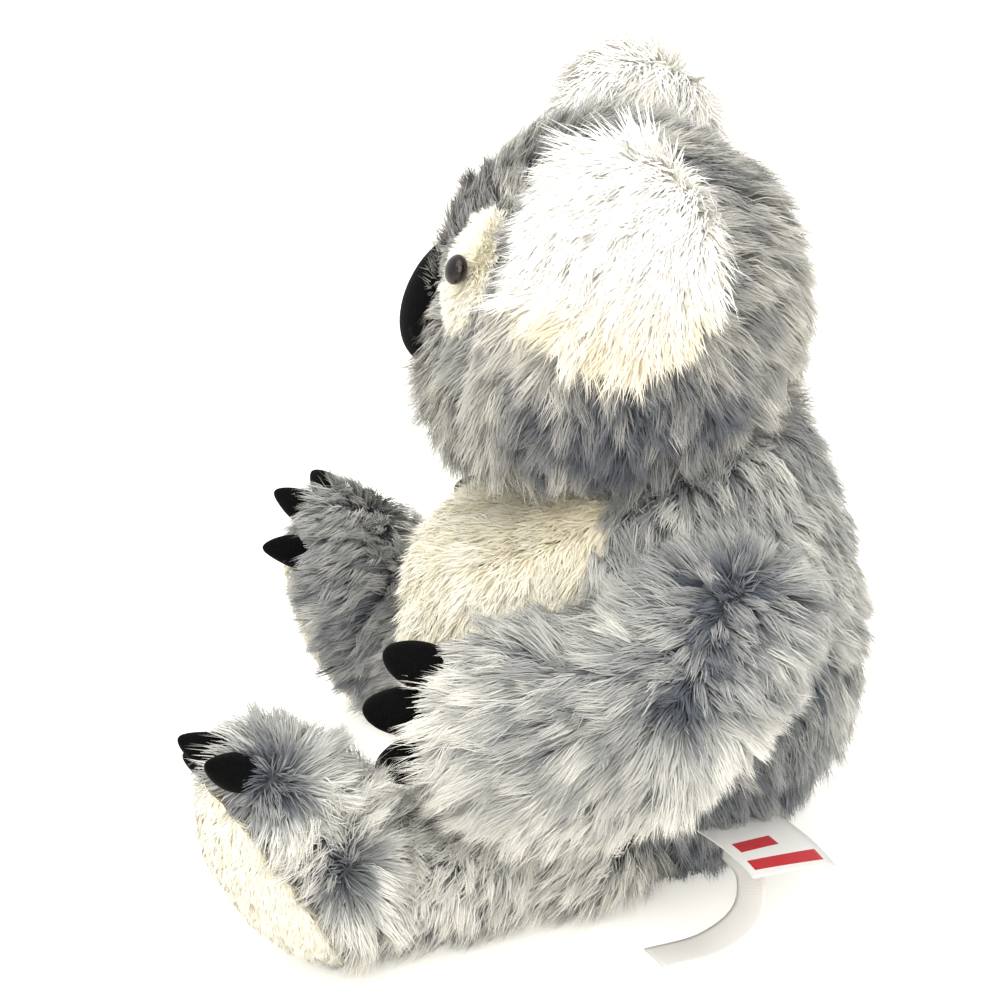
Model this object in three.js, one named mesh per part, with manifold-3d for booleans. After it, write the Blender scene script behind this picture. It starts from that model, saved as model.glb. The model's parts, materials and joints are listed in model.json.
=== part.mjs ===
// Seated plush koala, in millimetres. +Z is up, the koala faces -Y, and its left side is +X.
// The origin lies under the body, in the middle of the flat seat that it rests on.
import * as THREE from 'three';
import { mergeVertices } from 'three/addons/utils/BufferGeometryUtils.js';
import Module from 'manifold-3d';

const wasm = await Module();
wasm.setup();

// Cloth, seams and cutting room that every piece shares
const plush = 2.4; // plush cloth with its pile pressed down
const seam = 0.3; // gap where two pieces are sewn or lie together
const fillDepth = 2.85; // how deep the stuffing lies under the cloth's face
const flattened = 0.5; // how deep the pieces that carry the toy are pressed flat
const ripple = 0.08; // surface detail below this size is left out
const weld = 0.0001; // points closer than this are one point
const overrun = 300; // how far a cutting block reaches

// Body, from the seat to the neck
const torso = { halfWidth: 54, halfDepth: 64, height: 158, seatBelow: 10, pelletHeight: 30, sideSeamY: -2 };
const torsoFullness = 2.8;
const torsoLean = [8, 3, 2.5, 13.5, 30];
const torsoWidthShares = [0.98, 1, 1, 0.88, 0.7];
const torsoDepthShares = [0.8, 0.97, 1, 0.83, 0.56];

// Neck seam: a slanting plane between the body and the head
const neck = { y: 6, z: 119 };
const neckSlant = THREE.MathUtils.degToRad(25);

// Head, with its face to -Y
const head = { halfWidth: 57, halfDepth: 49, halfHeight: 47, y: -3, z: 157, earSeamY: 2, chinDepth: 24 };
const jaw = { halfWidth: 40, halfDepth: 35, halfHeight: 26, y: -18, z: 138 };
const nose = { halfWidth: 12, halfDepth: 11, halfHeight: 17.5, proud: 9, z: 156 };
const noseWidthShares = [0.8, 1, 0.85, 0.6];
const noseFullness = 2.6;
const eye = { radius: 5, dome: 3.2, shankRadius: 1.5, shankLength: 8 };
const eyePatch = { halfWidth: 9, halfHeight: 14, thickness: 1.2 };
const eyeWasher = { radius: 5, thickness: 1.2, depth: 4.8 };
const eyeYaw = THREE.MathUtils.degToRad(37);
const eyePitch = THREE.MathUtils.degToRad(19);
const ear = { halfWidth: 25, halfHeight: 27, halfThickness: 9, inFromSide: 2, behind: 3, above: 30 };
const earForward = THREE.MathUtils.degToRad(12);
const earUp = THREE.MathUtils.degToRad(10);

// Arms: each hangs outside a leaning plane and turns in it about the shoulder
const armPlane = { x: 46, z: 70, seamOut: 16 };
const armPlaneLean = THREE.MathUtils.degToRad(9);
const arm = { halfHeight: 30, halfThickness: 18, centreOut: 16.5 };
const armPaths = {
  left: [[41, 107], [25, 84], [1, 64], [-22, 61], [-49, 65]],
  right: [[41, 107], [25, 84], [1, 63.5], [-20, 59.5], [-41, 62]],
};
const armHeightShares = [0.8, 0.9, 0.97, 1.01, 0.96];
const armThicknessShares = [0.82, 0.95, 1.05, 1, 0.9];
const armFullness = 4.5;

// Legs: each has a round hip end that turns in the body, and a foot that stands up in front
const hip = { x: 34, y: -12, radius: 26, halfHeight: 19.5 };
const legSplay = THREE.MathUtils.degToRad(33);
const leg = { length: 98, halfWidth: 20, halfHeight: 19, backShare: 0.16, roomShare: 1.8, play: 0.6 };
const legWidthShares = [0.9, 1, 1, 0.98, 0.9];
const legHeightShares = [0.95, 1, 1, 0.98, 0.9];
const legFullness = 3.2;
const foot = { halfLength: 39, halfWidth: 24, halfThickness: 23, reach: 78, soleDepth: 9 };
const footTilt = THREE.MathUtils.degToRad(30);

// Claws: small stuffed black horns, three to each paw
const claw = { length: 20, radius: 6.2, buried: 8, droop: 3 };
const clawTaperShares = [1, 1, 0.7];
const clawFullness = 4;
const clawsPerPaw = 3;
const handClaw = { spacing: 12.5, ahead: 3, roundOff: 4 };
const footClawFan = THREE.MathUtils.degToRad(32);
const footClawInward = THREE.MathUtils.degToRad(18);
const footClawForward = THREE.MathUtils.degToRad(10);
const footClawBend = THREE.MathUtils.degToRad(32);

// Two ribbons sewn into the seam at the left of the seat, as the places that their middle lines run through:
// how far each lies outside the body's half width, how far back and how high
const ribbon = { thickness: 0.6, steps: 9 };
const sewnLabel = { width: 26, path: [[-18, 30, 25.5], [-8, 37, 26], [0, 43, 25], [7, 47.5, 23.5]] };
const sewnLabelAcross = [-0.66, 0.75, -0.1];
const satinRibbon = { width: 11, path: [[-16, 31, 20], [-7, 36, 17], [0, 36, 7], [6, 27, 0.8], [15, 12, 0.7]] };
const satinRibbonAcross = [0.8, 0.6, 0];

const colours = {
  grey: 0x9a9ca3,
  cream: 0xe9e0cb,
  white: 0xf4f0e6,
  pale: 0xc9c8c6,
  skin: 0xd9c4ae,
  stuffing: 0xf3f3f0,
  pelletCloth: 0xd8d4cc,
  black: 0x141414,
  washer: 0xe6e6e6,
  ribbon: 0xf5f3ee,
};

const X = new THREE.Vector3(1, 0, 0);
const Z = new THREE.Vector3(0, 0, 1);
const front = new THREE.Vector3(0, -1, 0);
const origin = new THREE.Vector3();

/** A geometry as a solid that can be joined and cut. */
function solidOf(geometry) {
  const bare = geometry.index ? geometry.toNonIndexed() : geometry.clone();
  bare.deleteAttribute('normal');
  bare.deleteAttribute('uv');
  const merged = mergeVertices(bare, weld);
  return new wasm.Manifold(
    new wasm.Mesh({
      numProp: 3,
      vertProperties: new Float32Array(merged.attributes.position.array),
      triVerts: new Uint32Array(merged.index.array),
    }),
  );
}

/** A solid as a geometry for a mesh. */
function geometryOf(solid) {
  const made = solid.getMesh();
  const places = new Float32Array(made.numVert * 3);
  for (let i = 0; i < made.numVert; i++) {
    places.set(made.vertProperties.subarray(i * made.numProp, i * made.numProp + 3), i * 3);
  }
  const geometry = new THREE.BufferGeometry();
  geometry.setAttribute('position', new THREE.BufferAttribute(places, 3));
  geometry.setIndex(new THREE.BufferAttribute(new Uint32Array(made.triVerts), 1));
  const flat = geometry.toNonIndexed();
  flat.computeVertexNormals();
  return flat;
}

/** A smooth curve through a list of values, as a function of the share of its length. */
function smooth(values) {
  const curve = new THREE.SplineCurve(values.map((value) => new THREE.Vector2(value, 0)));
  return (share) => curve.getPoint(share).x;
}

/** A stuffed form: rings along a spine that draw in to a point at each end. inset shrinks it all round. */
function stuffedForm(form, inset = 0) {
  const curve = new THREE.CatmullRomCurve3(form.spine);
  const length = curve.getLength();
  const halfWidth = smooth(form.halfWidths);
  const halfHeight = smooth(form.halfHeights);
  const ringAt = (u) => {
    const reach = inset + u * (length - 2 * inset);
    const t = THREE.MathUtils.clamp(reach / length, 0, 1);
    const tangent = curve.getTangentAt(t);
    const across = form.side.clone().addScaledVector(tangent, -form.side.dot(tangent)).normalize();
    const drawn = Math.sqrt(Math.max(0, 1 - Math.abs(2 * u - 1) ** form.fullness));
    return {
      centre: curve.getPointAt(t).addScaledVector(tangent, reach - t * length),
      up: tangent.clone().cross(across).multiplyScalar(drawn * (halfHeight(t) - inset)),
      across: across.multiplyScalar(drawn * (halfWidth(t) - inset)),
    };
  };
  const places = [];
  const put = (p) => places.push(p.x, p.y, p.z) / 3 - 1;
  const rows = [];
  for (let i = 1; i < form.rings; i++) {
    const ring = ringAt((1 - Math.cos((Math.PI * i) / form.rings)) / 2);
    const row = [];
    for (let j = 0; j < form.sides; j++) {
      const turn = (2 * Math.PI * j) / form.sides;
      const p = ring.centre.clone().addScaledVector(ring.across, Math.cos(turn));
      row.push(put(p.addScaledVector(ring.up, Math.sin(turn))));
    }
    rows.push(row);
  }
  const start = put(ringAt(0).centre);
  const end = put(ringAt(1).centre);
  const triangles = [];
  for (let j = 0; j < form.sides; j++) {
    const k = (j + 1) % form.sides;
    triangles.push(start, rows[0][k], rows[0][j], end, rows.at(-1)[j], rows.at(-1)[k]);
    for (let i = 0; i + 1 < rows.length; i++) {
      triangles.push(rows[i][j], rows[i][k], rows[i + 1][k], rows[i][j], rows[i + 1][k], rows[i + 1][j]);
    }
  }
  const geometry = new THREE.BufferGeometry();
  geometry.setAttribute('position', new THREE.Float32BufferAttribute(places, 3));
  geometry.setIndex(triangles);
  return solidOf(geometry);
}

/** An ellipsoid with the given half sizes across, deep and up, less an inset. */
function ellipsoid(halfSizes, centre, across, up, inset = 0, sides = 20, rings = 12) {
  const axes = [across, up.clone().cross(across), up];
  const geometry = new THREE.SphereGeometry(1, sides, rings);
  geometry.scale(...halfSizes.map((size) => size - inset));
  return solidOf(geometry.applyMatrix4(new THREE.Matrix4().makeBasis(...axes).setPosition(centre)));
}

/** Everything on the side of a plane that its normal points to, from a distance out along the normal. */
function halfSpace(point, normal, out = 0) {
  const block = new THREE.BoxGeometry(overrun * 2, overrun * 2, overrun);
  block.translate(0, 0, overrun / 2 + out);
  block.applyQuaternion(new THREE.Quaternion().setFromUnitVectors(Z, normal));
  return solidOf(block.translate(point.x, point.y, point.z));
}

/** The largest body of a solid, without the crumbs that a cut left. */
function mainBody(solid) {
  return solid.decompose().reduce((most, body) => (body.volume() > most.volume() ? body : most));
}

/** A solid cut in two along a plane, with a seam between: the piece behind the plane, then the one before it. */
function parted(solid, point, normal) {
  const back = normal.clone().negate();
  return [back, normal].map((way) => mainBody(solid.intersect(halfSpace(point, way, seam / 2))));
}

/** A disc that stands on a point and thickens along an axis. */
function disc(radius, thickness, point, axis, sides = 12) {
  const geometry = new THREE.CylinderGeometry(radius, radius, thickness, sides);
  geometry.translate(0, thickness / 2, 0);
  geometry.applyQuaternion(new THREE.Quaternion().setFromUnitVectors(new THREE.Vector3(0, 1, 0), axis));
  return solidOf(geometry.translate(point.x, point.y, point.z));
}

const root = new THREE.Group();
root.name = 'plush_koala';

/** Adds one named piece to the toy. */
function addPiece(name, solid, color, roughness = 0.95) {
  const lighter = mainBody(solid.simplify(ripple));
  const mesh = new THREE.Mesh(geometryOf(lighter), new THREE.MeshStandardMaterial({ color, roughness }));
  mesh.name = name;
  root.add(mesh);
}

const sides = [{ name: 'left', x: 1 }, { name: 'right', x: -1 }];
const neckPoint = new THREE.Vector3(0, neck.y, neck.z);
const neckAxis = new THREE.Vector3(0, -Math.sin(neckSlant), Math.cos(neckSlant));
const underNeck = neckAxis.clone().negate();

/** A side's arm plane: a point on it and its outward normal. */
function armSide(side) {
  return {
    point: new THREE.Vector3(side.x * armPlane.x, 0, armPlane.z),
    out: new THREE.Vector3(side.x * Math.cos(armPlaneLean), 0, Math.sin(armPlaneLean)),
  };
}

/** A side's leg: the hip that it turns about, its direction and the direction across it. */
function legSide(side) {
  return {
    hip: new THREE.Vector3(side.x * hip.x, hip.y, hip.halfHeight - flattened),
    along: new THREE.Vector3(side.x * Math.sin(legSplay), -Math.cos(legSplay), 0),
    across: new THREE.Vector3(side.x * Math.cos(legSplay), Math.sin(legSplay), 0),
  };
}

/** The round hip end and the shin of a leg. grow widens it all round, and room spreads it for its swing. */
function legForm(side, grow, room, ringSides, rings) {
  const { hip: centre, along, across } = legSide(side);
  const steps = legWidthShares.map((_, i) => i / (legWidthShares.length - 1));
  const spine = steps.map((t) =>
    centre
      .clone()
      .addScaledVector(along, leg.length * (t - leg.backShare))
      .setZ(leg.halfHeight - flattened),
  );
  const widen = (t) => THREE.MathUtils.lerp(1, room, t);
  const form = {
    spine,
    side: across,
    halfWidths: legWidthShares.map((share, i) => leg.halfWidth * share * widen(steps[i])),
    halfHeights: legHeightShares.map((share) => leg.halfHeight * share),
    fullness: legFullness,
    sides: ringSides,
    rings,
  };
  const ball = ellipsoid([hip.radius, hip.radius, hip.halfHeight], centre, across, Z, -grow, ringSides + 10, rings + 2);
  return stuffedForm(form, -grow).add(ball);
}

/** The body's stuffed form, cut by the neck, the arms and the legs. inset shrinks it from all of them. */
function torsoForm(inset, ringSides, rings) {
  const last = torsoLean.length - 1;
  const form = {
    spine: torsoLean.map((y, i) => new THREE.Vector3(0, y, (i / last) * torso.height - torso.seatBelow)),
    side: X,
    halfWidths: torsoWidthShares.map((share) => share * torso.halfWidth),
    halfHeights: torsoDepthShares.map((share) => share * torso.halfDepth),
    fullness: torsoFullness,
    sides: ringSides,
    rings,
  };
  let solid = stuffedForm(form, inset);
  solid = solid.intersect(halfSpace(neckPoint, underNeck, seam / 2 + inset)).intersect(halfSpace(origin, Z, inset));
  for (const side of sides) {
    const { point, out } = armSide(side);
    solid = solid.intersect(halfSpace(point, out.clone().negate(), seam / 2 + inset));
    solid = solid.subtract(legForm(side, leg.play + inset, leg.roomShare, 12, 8));
  }
  return mainBody(solid);
}

const torsoSkin = torsoForm(0, 24, 16).subtract(torsoForm(plush, 16, 10));
const torsoFill = torsoForm(fillDepth, 16, 10);
const sideSeam = new THREE.Vector3(0, torso.sideSeamY, 0);
const [backPanel, bellyPanel] = parted(torsoSkin, sideSeam, front);
addPiece('back_panel', backPanel, colours.grey);
addPiece('belly_panel', bellyPanel, colours.cream);
const [pelletBag, torsoStuffing] = parted(torsoFill, new THREE.Vector3(0, 0, torso.pelletHeight), Z);
addPiece('torso_stuffing', torsoStuffing, colours.stuffing);
addPiece('pellet_bag', pelletBag, colours.pelletCloth);

/** Adds the pieces of one arm. */
function addArm(side) {
  const { point, out } = armSide(side);
  const inPlane = new THREE.Vector3(-side.x * Math.sin(armPlaneLean), 0, Math.cos(armPlaneLean));
  const onSpine = ([y, z]) => {
    const rise = (z - armPlane.z) / Math.cos(armPlaneLean);
    return point.clone().setY(y).addScaledVector(inPlane, rise).addScaledVector(out, arm.centreOut);
  };
  const form = {
    spine: armPaths[side.name].map(onSpine),
    side: out,
    halfWidths: armThicknessShares.map((share) => share * arm.halfThickness),
    halfHeights: armHeightShares.map((share) => share * arm.halfHeight),
    fullness: armFullness,
    sides: 16,
    rings: 12,
  };
  const outer = stuffedForm(form).intersect(halfSpace(point, out, seam / 2));
  const inner = { ...form, sides: 12, rings: 10 };
  const hollow = stuffedForm(inner, plush).intersect(halfSpace(point, out, seam / 2 + plush));
  const fill = stuffedForm(inner, fillDepth).intersect(halfSpace(point, out, seam / 2 + fillDepth));
  const split = point.clone().addScaledVector(out, armPlane.seamOut);
  const [innerPanel, outerPanel] = parted(outer.subtract(hollow), split, out);
  addPiece(`${side.name}_arm_outer_panel`, outerPanel, colours.grey);
  addPiece(`${side.name}_arm_inner_panel`, innerPanel, colours.pale);
  addPiece(`${side.name}_arm_stuffing`, fill, colours.stuffing);
  const grown = stuffedForm(form, -seam);
  const [handY, handZ] = armPaths[side.name].at(-1);
  for (let i = 0; i < clawsPerPaw; i++) {
    const step = i - (clawsPerPaw - 1) / 2;
    const forward = handY - handClaw.ahead + step * step * handClaw.roundOff;
    const base = onSpine([forward, handZ + step * handClaw.spacing]);
    const ahead = new THREE.Vector3(0, -1, step / clawsPerPaw).normalize();
    addPiece(`${side.name}_hand_claw_${i + 1}`, clawForm(base, ahead, out).subtract(grown), colours.black, 0.6);
  }
}

/** A claw that starts buried behind a base point and runs ahead, drooping a little. */
function clawForm(base, ahead, across) {
  const down = ahead.clone().cross(across).normalize();
  if (down.z > 0) down.negate();
  const at = (share) =>
    base
      .clone()
      .addScaledVector(ahead, share * claw.length - claw.buried)
      .addScaledVector(down, share * share * claw.droop);
  return stuffedForm({
    spine: [at(0), at(0.5), at(1)],
    side: across,
    halfWidths: clawTaperShares.map((share) => share * claw.radius),
    halfHeights: clawTaperShares.map((share) => share * claw.radius),
    fullness: clawFullness,
    sides: 8,
    rings: 7,
  });
}

sides.forEach(addArm);

/** Adds the pieces of one leg, with its foot. */
function addLeg(side) {
  const { hip: centre, along, across } = legSide(side);
  const tilted = (forward, rise) => along.clone().multiplyScalar(forward).addScaledVector(Z, rise);
  const toes = tilted(Math.sin(footTilt), Math.cos(footTilt));
  const sole = tilted(Math.cos(footTilt), -Math.sin(footTilt));
  const lowest = Math.hypot(foot.halfLength * Math.cos(footTilt), foot.halfThickness * Math.sin(footTilt));
  const ball = centre.clone().addScaledVector(along, foot.reach).setZ(lowest - flattened);
  const footSizes = [foot.halfWidth, foot.halfThickness, foot.halfLength];
  const footSolid = (inset, n, m) => ellipsoid(footSizes, ball, across, toes, inset, n, m);
  const ground = (inset) => halfSpace(origin, Z, inset);
  const wholeFoot = footSolid(0, 16, 12).intersect(ground(0));
  const wholeLeg = legForm(side, 0, 1, 12, 8).intersect(ground(0)).subtract(footSolid(-seam, 16, 12));
  const hollowFoot = footSolid(plush, 14, 10).intersect(ground(plush));
  const hollowLeg = legForm(side, -plush, 1, 12, 8).intersect(ground(plush));
  const legPanel = wholeLeg.subtract(hollowLeg);
  const beforeSole = wholeFoot.intersect(halfSpace(ball, sole.clone().negate(), -foot.soleDepth));
  const footPanel = beforeSole.subtract(hollowFoot).subtract(hollowLeg);
  const soleSlab = halfSpace(ball, sole, foot.soleDepth + seam).intersect(wholeFoot);
  const fill = legForm(side, -fillDepth, 1, 12, 8)
    .add(footSolid(fillDepth, 14, 10))
    .intersect(ground(fillDepth))
    .intersect(halfSpace(ball, sole.clone().negate(), -foot.soleDepth));
  addPiece(`${side.name}_leg_panel`, legPanel, colours.grey);
  addPiece(`${side.name}_foot_panel`, footPanel, colours.pale);
  addPiece(`${side.name}_foot_sole`, soleSlab, colours.skin);
  addPiece(`${side.name}_leg_stuffing`, fill, colours.stuffing);
  const grown = footSolid(-seam, 16, 12);
  for (let i = 0; i < clawsPerPaw; i++) {
    const turn = (i - (clawsPerPaw - 1) / 2) * footClawFan - footClawInward;
    const fanned = (toesShare, acrossShare) =>
      toes.clone().multiplyScalar(toesShare * Math.cos(turn)).addScaledVector(across, acrossShare * Math.sin(turn));
    const base = fanned(foot.halfLength, foot.halfWidth)
      .multiplyScalar(Math.cos(footClawForward))
      .addScaledVector(sole, foot.halfThickness * Math.sin(footClawForward))
      .add(ball);
    const ahead = fanned(1, 1).multiplyScalar(Math.cos(footClawBend)).addScaledVector(sole, Math.sin(footClawBend));
    addPiece(`${side.name}_foot_claw_${i + 1}`, clawForm(base, ahead, across).subtract(grown), colours.black, 0.6);
  }
}

sides.forEach(addLeg);

const headCentre = new THREE.Vector3(0, head.y, head.z);

/** The head's stuffed form, cut by the neck seam, less an inset. */
function headForm(inset, ringSides, rings) {
  const sizes = [head.halfWidth, head.halfDepth, head.halfHeight];
  const skull = ellipsoid(sizes, headCentre, X, Z, inset, ringSides, rings);
  const jawCentre = new THREE.Vector3(0, jaw.y, jaw.z);
  const jawSizes = [jaw.halfWidth, jaw.halfDepth, jaw.halfHeight];
  return skull
    .add(ellipsoid(jawSizes, jawCentre, X, Z, inset, ringSides, rings))
   .intersect(halfSpace(neckPoint, neckAxis, seam / 2 + inset));
}

const headOuter = headForm(0, 24, 14);
const headGrown = headForm(-seam, 24, 14);
const eyeHoles = [];
const washerRooms = [];

/** Adds the pieces of one eye, and notes the holes that they need in the head. */
function addEye(side) {
  const yaw = side.x * eyeYaw;
  const level = new THREE.Vector3(Math.sin(yaw), -Math.cos(yaw), 0);
  const gaze = level.multiplyScalar(Math.cos(eyePitch)).addScaledVector(Z, Math.sin(eyePitch));
  const sizes = new THREE.Vector3(head.halfWidth, head.halfDepth, head.halfHeight);
  const spot = gaze.divideScalar(gaze.clone().divide(sizes).length());
  const out = spot.clone().divide(sizes).divide(sizes).normalize();
  const across = out.clone().cross(Z).normalize();
  const up = across.clone().cross(out);
  const at = (reach) => headCentre.clone().add(spot).addScaledVector(out, reach);
  const shankHole = disc(eye.shankRadius + seam, overrun, at(-plush - eye.shankLength - seam), out);
  const oval = new THREE.CylinderGeometry(1, 1, overrun, 16).rotateX(Math.PI / 2);
  oval.scale(eyePatch.halfWidth, eyePatch.halfHeight, 1);
  oval.translate(0, 0, overrun / 2);
  oval.applyMatrix4(new THREE.Matrix4().makeBasis(across.clone().negate(), up, out).setPosition(at(-eye.shankLength)));
  const patchTop = headForm(-seam - eyePatch.thickness, 24, 14);
  const patch = patchTop.subtract(headGrown).intersect(solidOf(oval)).subtract(shankHole);
  addPiece(`${side.name}_eye_patch`, patch, colours.skin);
  const seat = seam * 2 + eyePatch.thickness;
  const dome = ellipsoid([eye.radius, eye.dome, eye.radius], at(seat), across, up, 0, 14, 8);
  const shank = disc(eye.shankRadius, eye.shankLength + seat + eye.dome / 2, at(-eye.shankLength), out, 12);
  addPiece(`${side.name}_eye`, dome.intersect(halfSpace(at(seat), out)).add(shank), colours.black, 0.15);
  const washerBack = at(-eyeWasher.depth - eyeWasher.thickness);
  const washer = disc(eyeWasher.radius, eyeWasher.thickness, washerBack, out).subtract(shankHole);
  addPiece(`${side.name}_eye_washer`, washer, colours.washer, 0.5);
  eyeHoles.push(shankHole);
  const roomBack = at(-eye.shankLength - seam);
  washerRooms.push(disc(eyeWasher.radius + seam, overrun, roomBack, out));
}

sides.forEach(addEye);

const cutHoles = (solid, holes) => holes.reduce((left, hole) => left.subtract(hole), solid);
const headSkin = cutHoles(headOuter.subtract(headForm(plush, 16, 10)), eyeHoles);
const [headBack, faceAndChin] = parted(headSkin, new THREE.Vector3(0, head.earSeamY, 0), front);
const chinSeam = neckPoint.clone().addScaledVector(neckAxis, head.chinDepth);
const [chin, faceFront] = parted(faceAndChin, chinSeam, neckAxis);
addPiece('head_back_panel', headBack, colours.grey);
addPiece('face_panel', faceFront, colours.grey);
addPiece('chin_panel', chin, colours.pale);
addPiece('head_stuffing', cutHoles(headForm(fillDepth, 16, 10), washerRooms), colours.stuffing);

const noseMiddle = new THREE.Vector3(0, head.y - head.halfDepth - nose.proud + nose.halfDepth, nose.z);
const noseForm = stuffedForm({
  spine: [-1, -0.33, 0.33, 1].map((share) => noseMiddle.clone().setZ(nose.z + share * nose.halfHeight)),
  side: X,
  halfWidths: noseWidthShares.map((share) => share * nose.halfWidth),
  halfHeights: noseWidthShares.map((share) => share * nose.halfDepth),
  fullness: noseFullness,
  sides: 14,
  rings: 8,
});
addPiece('nose', noseForm.subtract(headGrown), colours.black, 0.8);

/** Adds the two plush layers of one ear. */
function addEar(side) {
  const level = new THREE.Vector3(side.x * Math.cos(earForward), -Math.sin(earForward), 0);
  const out = level.multiplyScalar(Math.cos(earUp)).addScaledVector(Z, Math.sin(earUp));
  const across = Z.clone().cross(out).normalize();
  const up = out.clone().cross(across);
  const sideways = side.x * (head.halfWidth - ear.inFromSide);
  const centre = new THREE.Vector3(sideways, head.y + ear.behind, head.z + ear.above);
  const sizes = [ear.halfWidth, ear.halfThickness, ear.halfHeight];
  const whole = ellipsoid(sizes, centre, across, up, 0, 20, 10).subtract(headGrown);
  const [back, face] = parted(whole, centre, out);
  addPiece(`${side.name}_ear_face`, face, colours.white);
  addPiece(`${side.name}_ear_back`, back, colours.grey);
}

sides.forEach(addEar);

/** A strip of ribbon: its width lies along a given direction, and its middle line runs through places. */
function strip({ path, width }, acrossParts) {
  const route = path.map(([out, back, rise]) => new THREE.Vector3(torso.halfWidth + out, back, rise));
  const curve = new THREE.CatmullRomCurve3(route);
  const across = new THREE.Vector3(...acrossParts).normalize();
  const places = [];
  for (let i = 0; i <= ribbon.steps; i++) {
    const along = curve.getTangentAt(i / ribbon.steps);
    const flat = across.clone().addScaledVector(along, -across.dot(along)).setLength(width / 2);
    const thick = along.clone().cross(flat).setLength(ribbon.thickness / 2);
    for (const [w, h] of [[1, 1], [-1, 1], [-1, -1], [1, -1]]) {
      const p = curve.getPointAt(i / ribbon.steps).addScaledVector(flat, w).addScaledVector(thick, h);
      places.push(p.x, p.y, Math.max(p.z, seam));
    }
  }
  const triangles = [0, 2, 1, 0, 3, 2];
  for (let i = 0; i < ribbon.steps; i++) {
    for (let j = 0; j < 4; j++) {
      const [a, b] = [i * 4 + j, i * 4 + ((j + 1) % 4)];
      triangles.push(a, b, b + 4, a, b + 4, a + 4);
    }
  }
  const end = ribbon.steps * 4;
  triangles.push(end, end + 1, end + 2, end, end + 2, end + 3);
  const geometry = new THREE.BufferGeometry();
  geometry.setAttribute('position', new THREE.Float32BufferAttribute(places, 3));
  geometry.setIndex(triangles);
  return solidOf(geometry);
}

const torsoGrown = torsoForm(-seam, 24, 16);
addPiece('sewn_label', mainBody(strip(sewnLabel, sewnLabelAcross).subtract(torsoGrown)), colours.ribbon, 0.6);
addPiece('satin_ribbon', mainBody(strip(satinRibbon, satinRibbonAcross).subtract(torsoGrown)), colours.ribbon, 0.4);

export default root;
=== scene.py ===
"""Seated plush koala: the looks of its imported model, in metres and in the model's own frame.

The koala faces -Y, its left side is +X and +Z is up. Each skin is a copy of the model's own
solids that a cloth simulation fills out, and its pile grows out of it strand by strand.
"""

import json
import logging
import math
from dataclasses import dataclass, field, replace
from enum import Enum
from functools import cache

import bpy
import numpy as np
from mathutils import Matrix, Vector
from mathutils.bvhtree import BVHTree
from mathutils.kdtree import KDTree

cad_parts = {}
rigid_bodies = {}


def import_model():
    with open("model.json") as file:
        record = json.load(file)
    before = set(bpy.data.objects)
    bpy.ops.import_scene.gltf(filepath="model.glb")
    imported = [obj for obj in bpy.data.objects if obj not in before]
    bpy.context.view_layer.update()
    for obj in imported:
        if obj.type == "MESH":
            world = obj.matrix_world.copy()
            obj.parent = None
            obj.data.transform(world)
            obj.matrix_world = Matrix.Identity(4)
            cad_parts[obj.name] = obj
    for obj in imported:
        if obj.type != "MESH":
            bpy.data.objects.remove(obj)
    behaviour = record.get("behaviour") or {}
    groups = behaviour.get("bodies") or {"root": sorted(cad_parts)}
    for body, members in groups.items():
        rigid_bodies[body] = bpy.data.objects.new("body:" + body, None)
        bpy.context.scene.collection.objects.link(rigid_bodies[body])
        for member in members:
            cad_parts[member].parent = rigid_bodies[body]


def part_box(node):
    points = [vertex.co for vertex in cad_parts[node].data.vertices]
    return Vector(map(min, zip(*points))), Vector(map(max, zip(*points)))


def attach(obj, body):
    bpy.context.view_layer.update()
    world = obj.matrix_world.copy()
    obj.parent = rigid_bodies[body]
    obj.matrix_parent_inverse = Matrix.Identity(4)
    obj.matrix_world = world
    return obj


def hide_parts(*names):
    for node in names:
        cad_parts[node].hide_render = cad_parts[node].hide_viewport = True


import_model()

LOG = logging.getLogger("koala")
Array = np.ndarray
Colour = tuple[float, float, float]
Point = tuple[float, float, float]

MM = 0.001
FLOOR_GAP = 0.3 * MM
PIECE_TRIANGLES = 195_000  # a layer with more is split, to stay below the limit for one piece
CLAW_NUMBERS = (1, 2, 3)
LEG_AHEAD = (0.545, -0.839)  # the way from the left hip to the toes, seen from above
DOWN = np.array([0.0, 0.0, -1.0])
UP = Vector((0, 0, 1))


class Side(Enum):
    """A side of the koala, with its name in the model and its direction along X."""

    LEFT = ("left", 1.0)
    RIGHT = ("right", -1.0)

    @property
    def label(self) -> str:
        """The side's name as the model's nodes and bodies write it."""
        return self.value[0]

    @property
    def sign(self) -> float:
        """The side's direction along X."""
        return self.value[1]

    def of(self, point: Point) -> Vector:
        """The point, given for the left side in millimetres, on this side and in metres."""
        return Vector((point[0] * self.sign, point[1], point[2])) * MM


# ---- small helpers for arrays, objects and nodes


def unit(rows: Array) -> Array:
    """Each row scaled to length one."""
    return rows / np.maximum(np.linalg.norm(rows, axis=-1, keepdims=True), 1e-12)


def eased(low: float, high: float, values: Array) -> Array:
    """A smooth step from 0 at low to 1 at high."""
    share = np.clip((values - low) / (high - low), 0.0, 1.0)
    return share * share * (3.0 - 2.0 * share)


def waves(points: Array, wavelength: float, seed: int) -> Array:
    """Smooth random variation over space, from about -1 to 1.

    Args:
        points: Places, one to a row.
        wavelength: Size of the patches, in metres.
        seed: Which pattern it is.

    Returns:
        One value for each place.
    """
    count, tallest = 7, 3.2
    rng = np.random.default_rng(seed)
    ways = unit(rng.normal(size=(count, 3))) * rng.uniform(0.6, 1.5, (count, 1))
    turns = points @ ways.T * (2 * math.pi / wavelength) + rng.uniform(0, 2 * math.pi, count)
    return np.sin(turns).sum(1) / tallest


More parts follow.
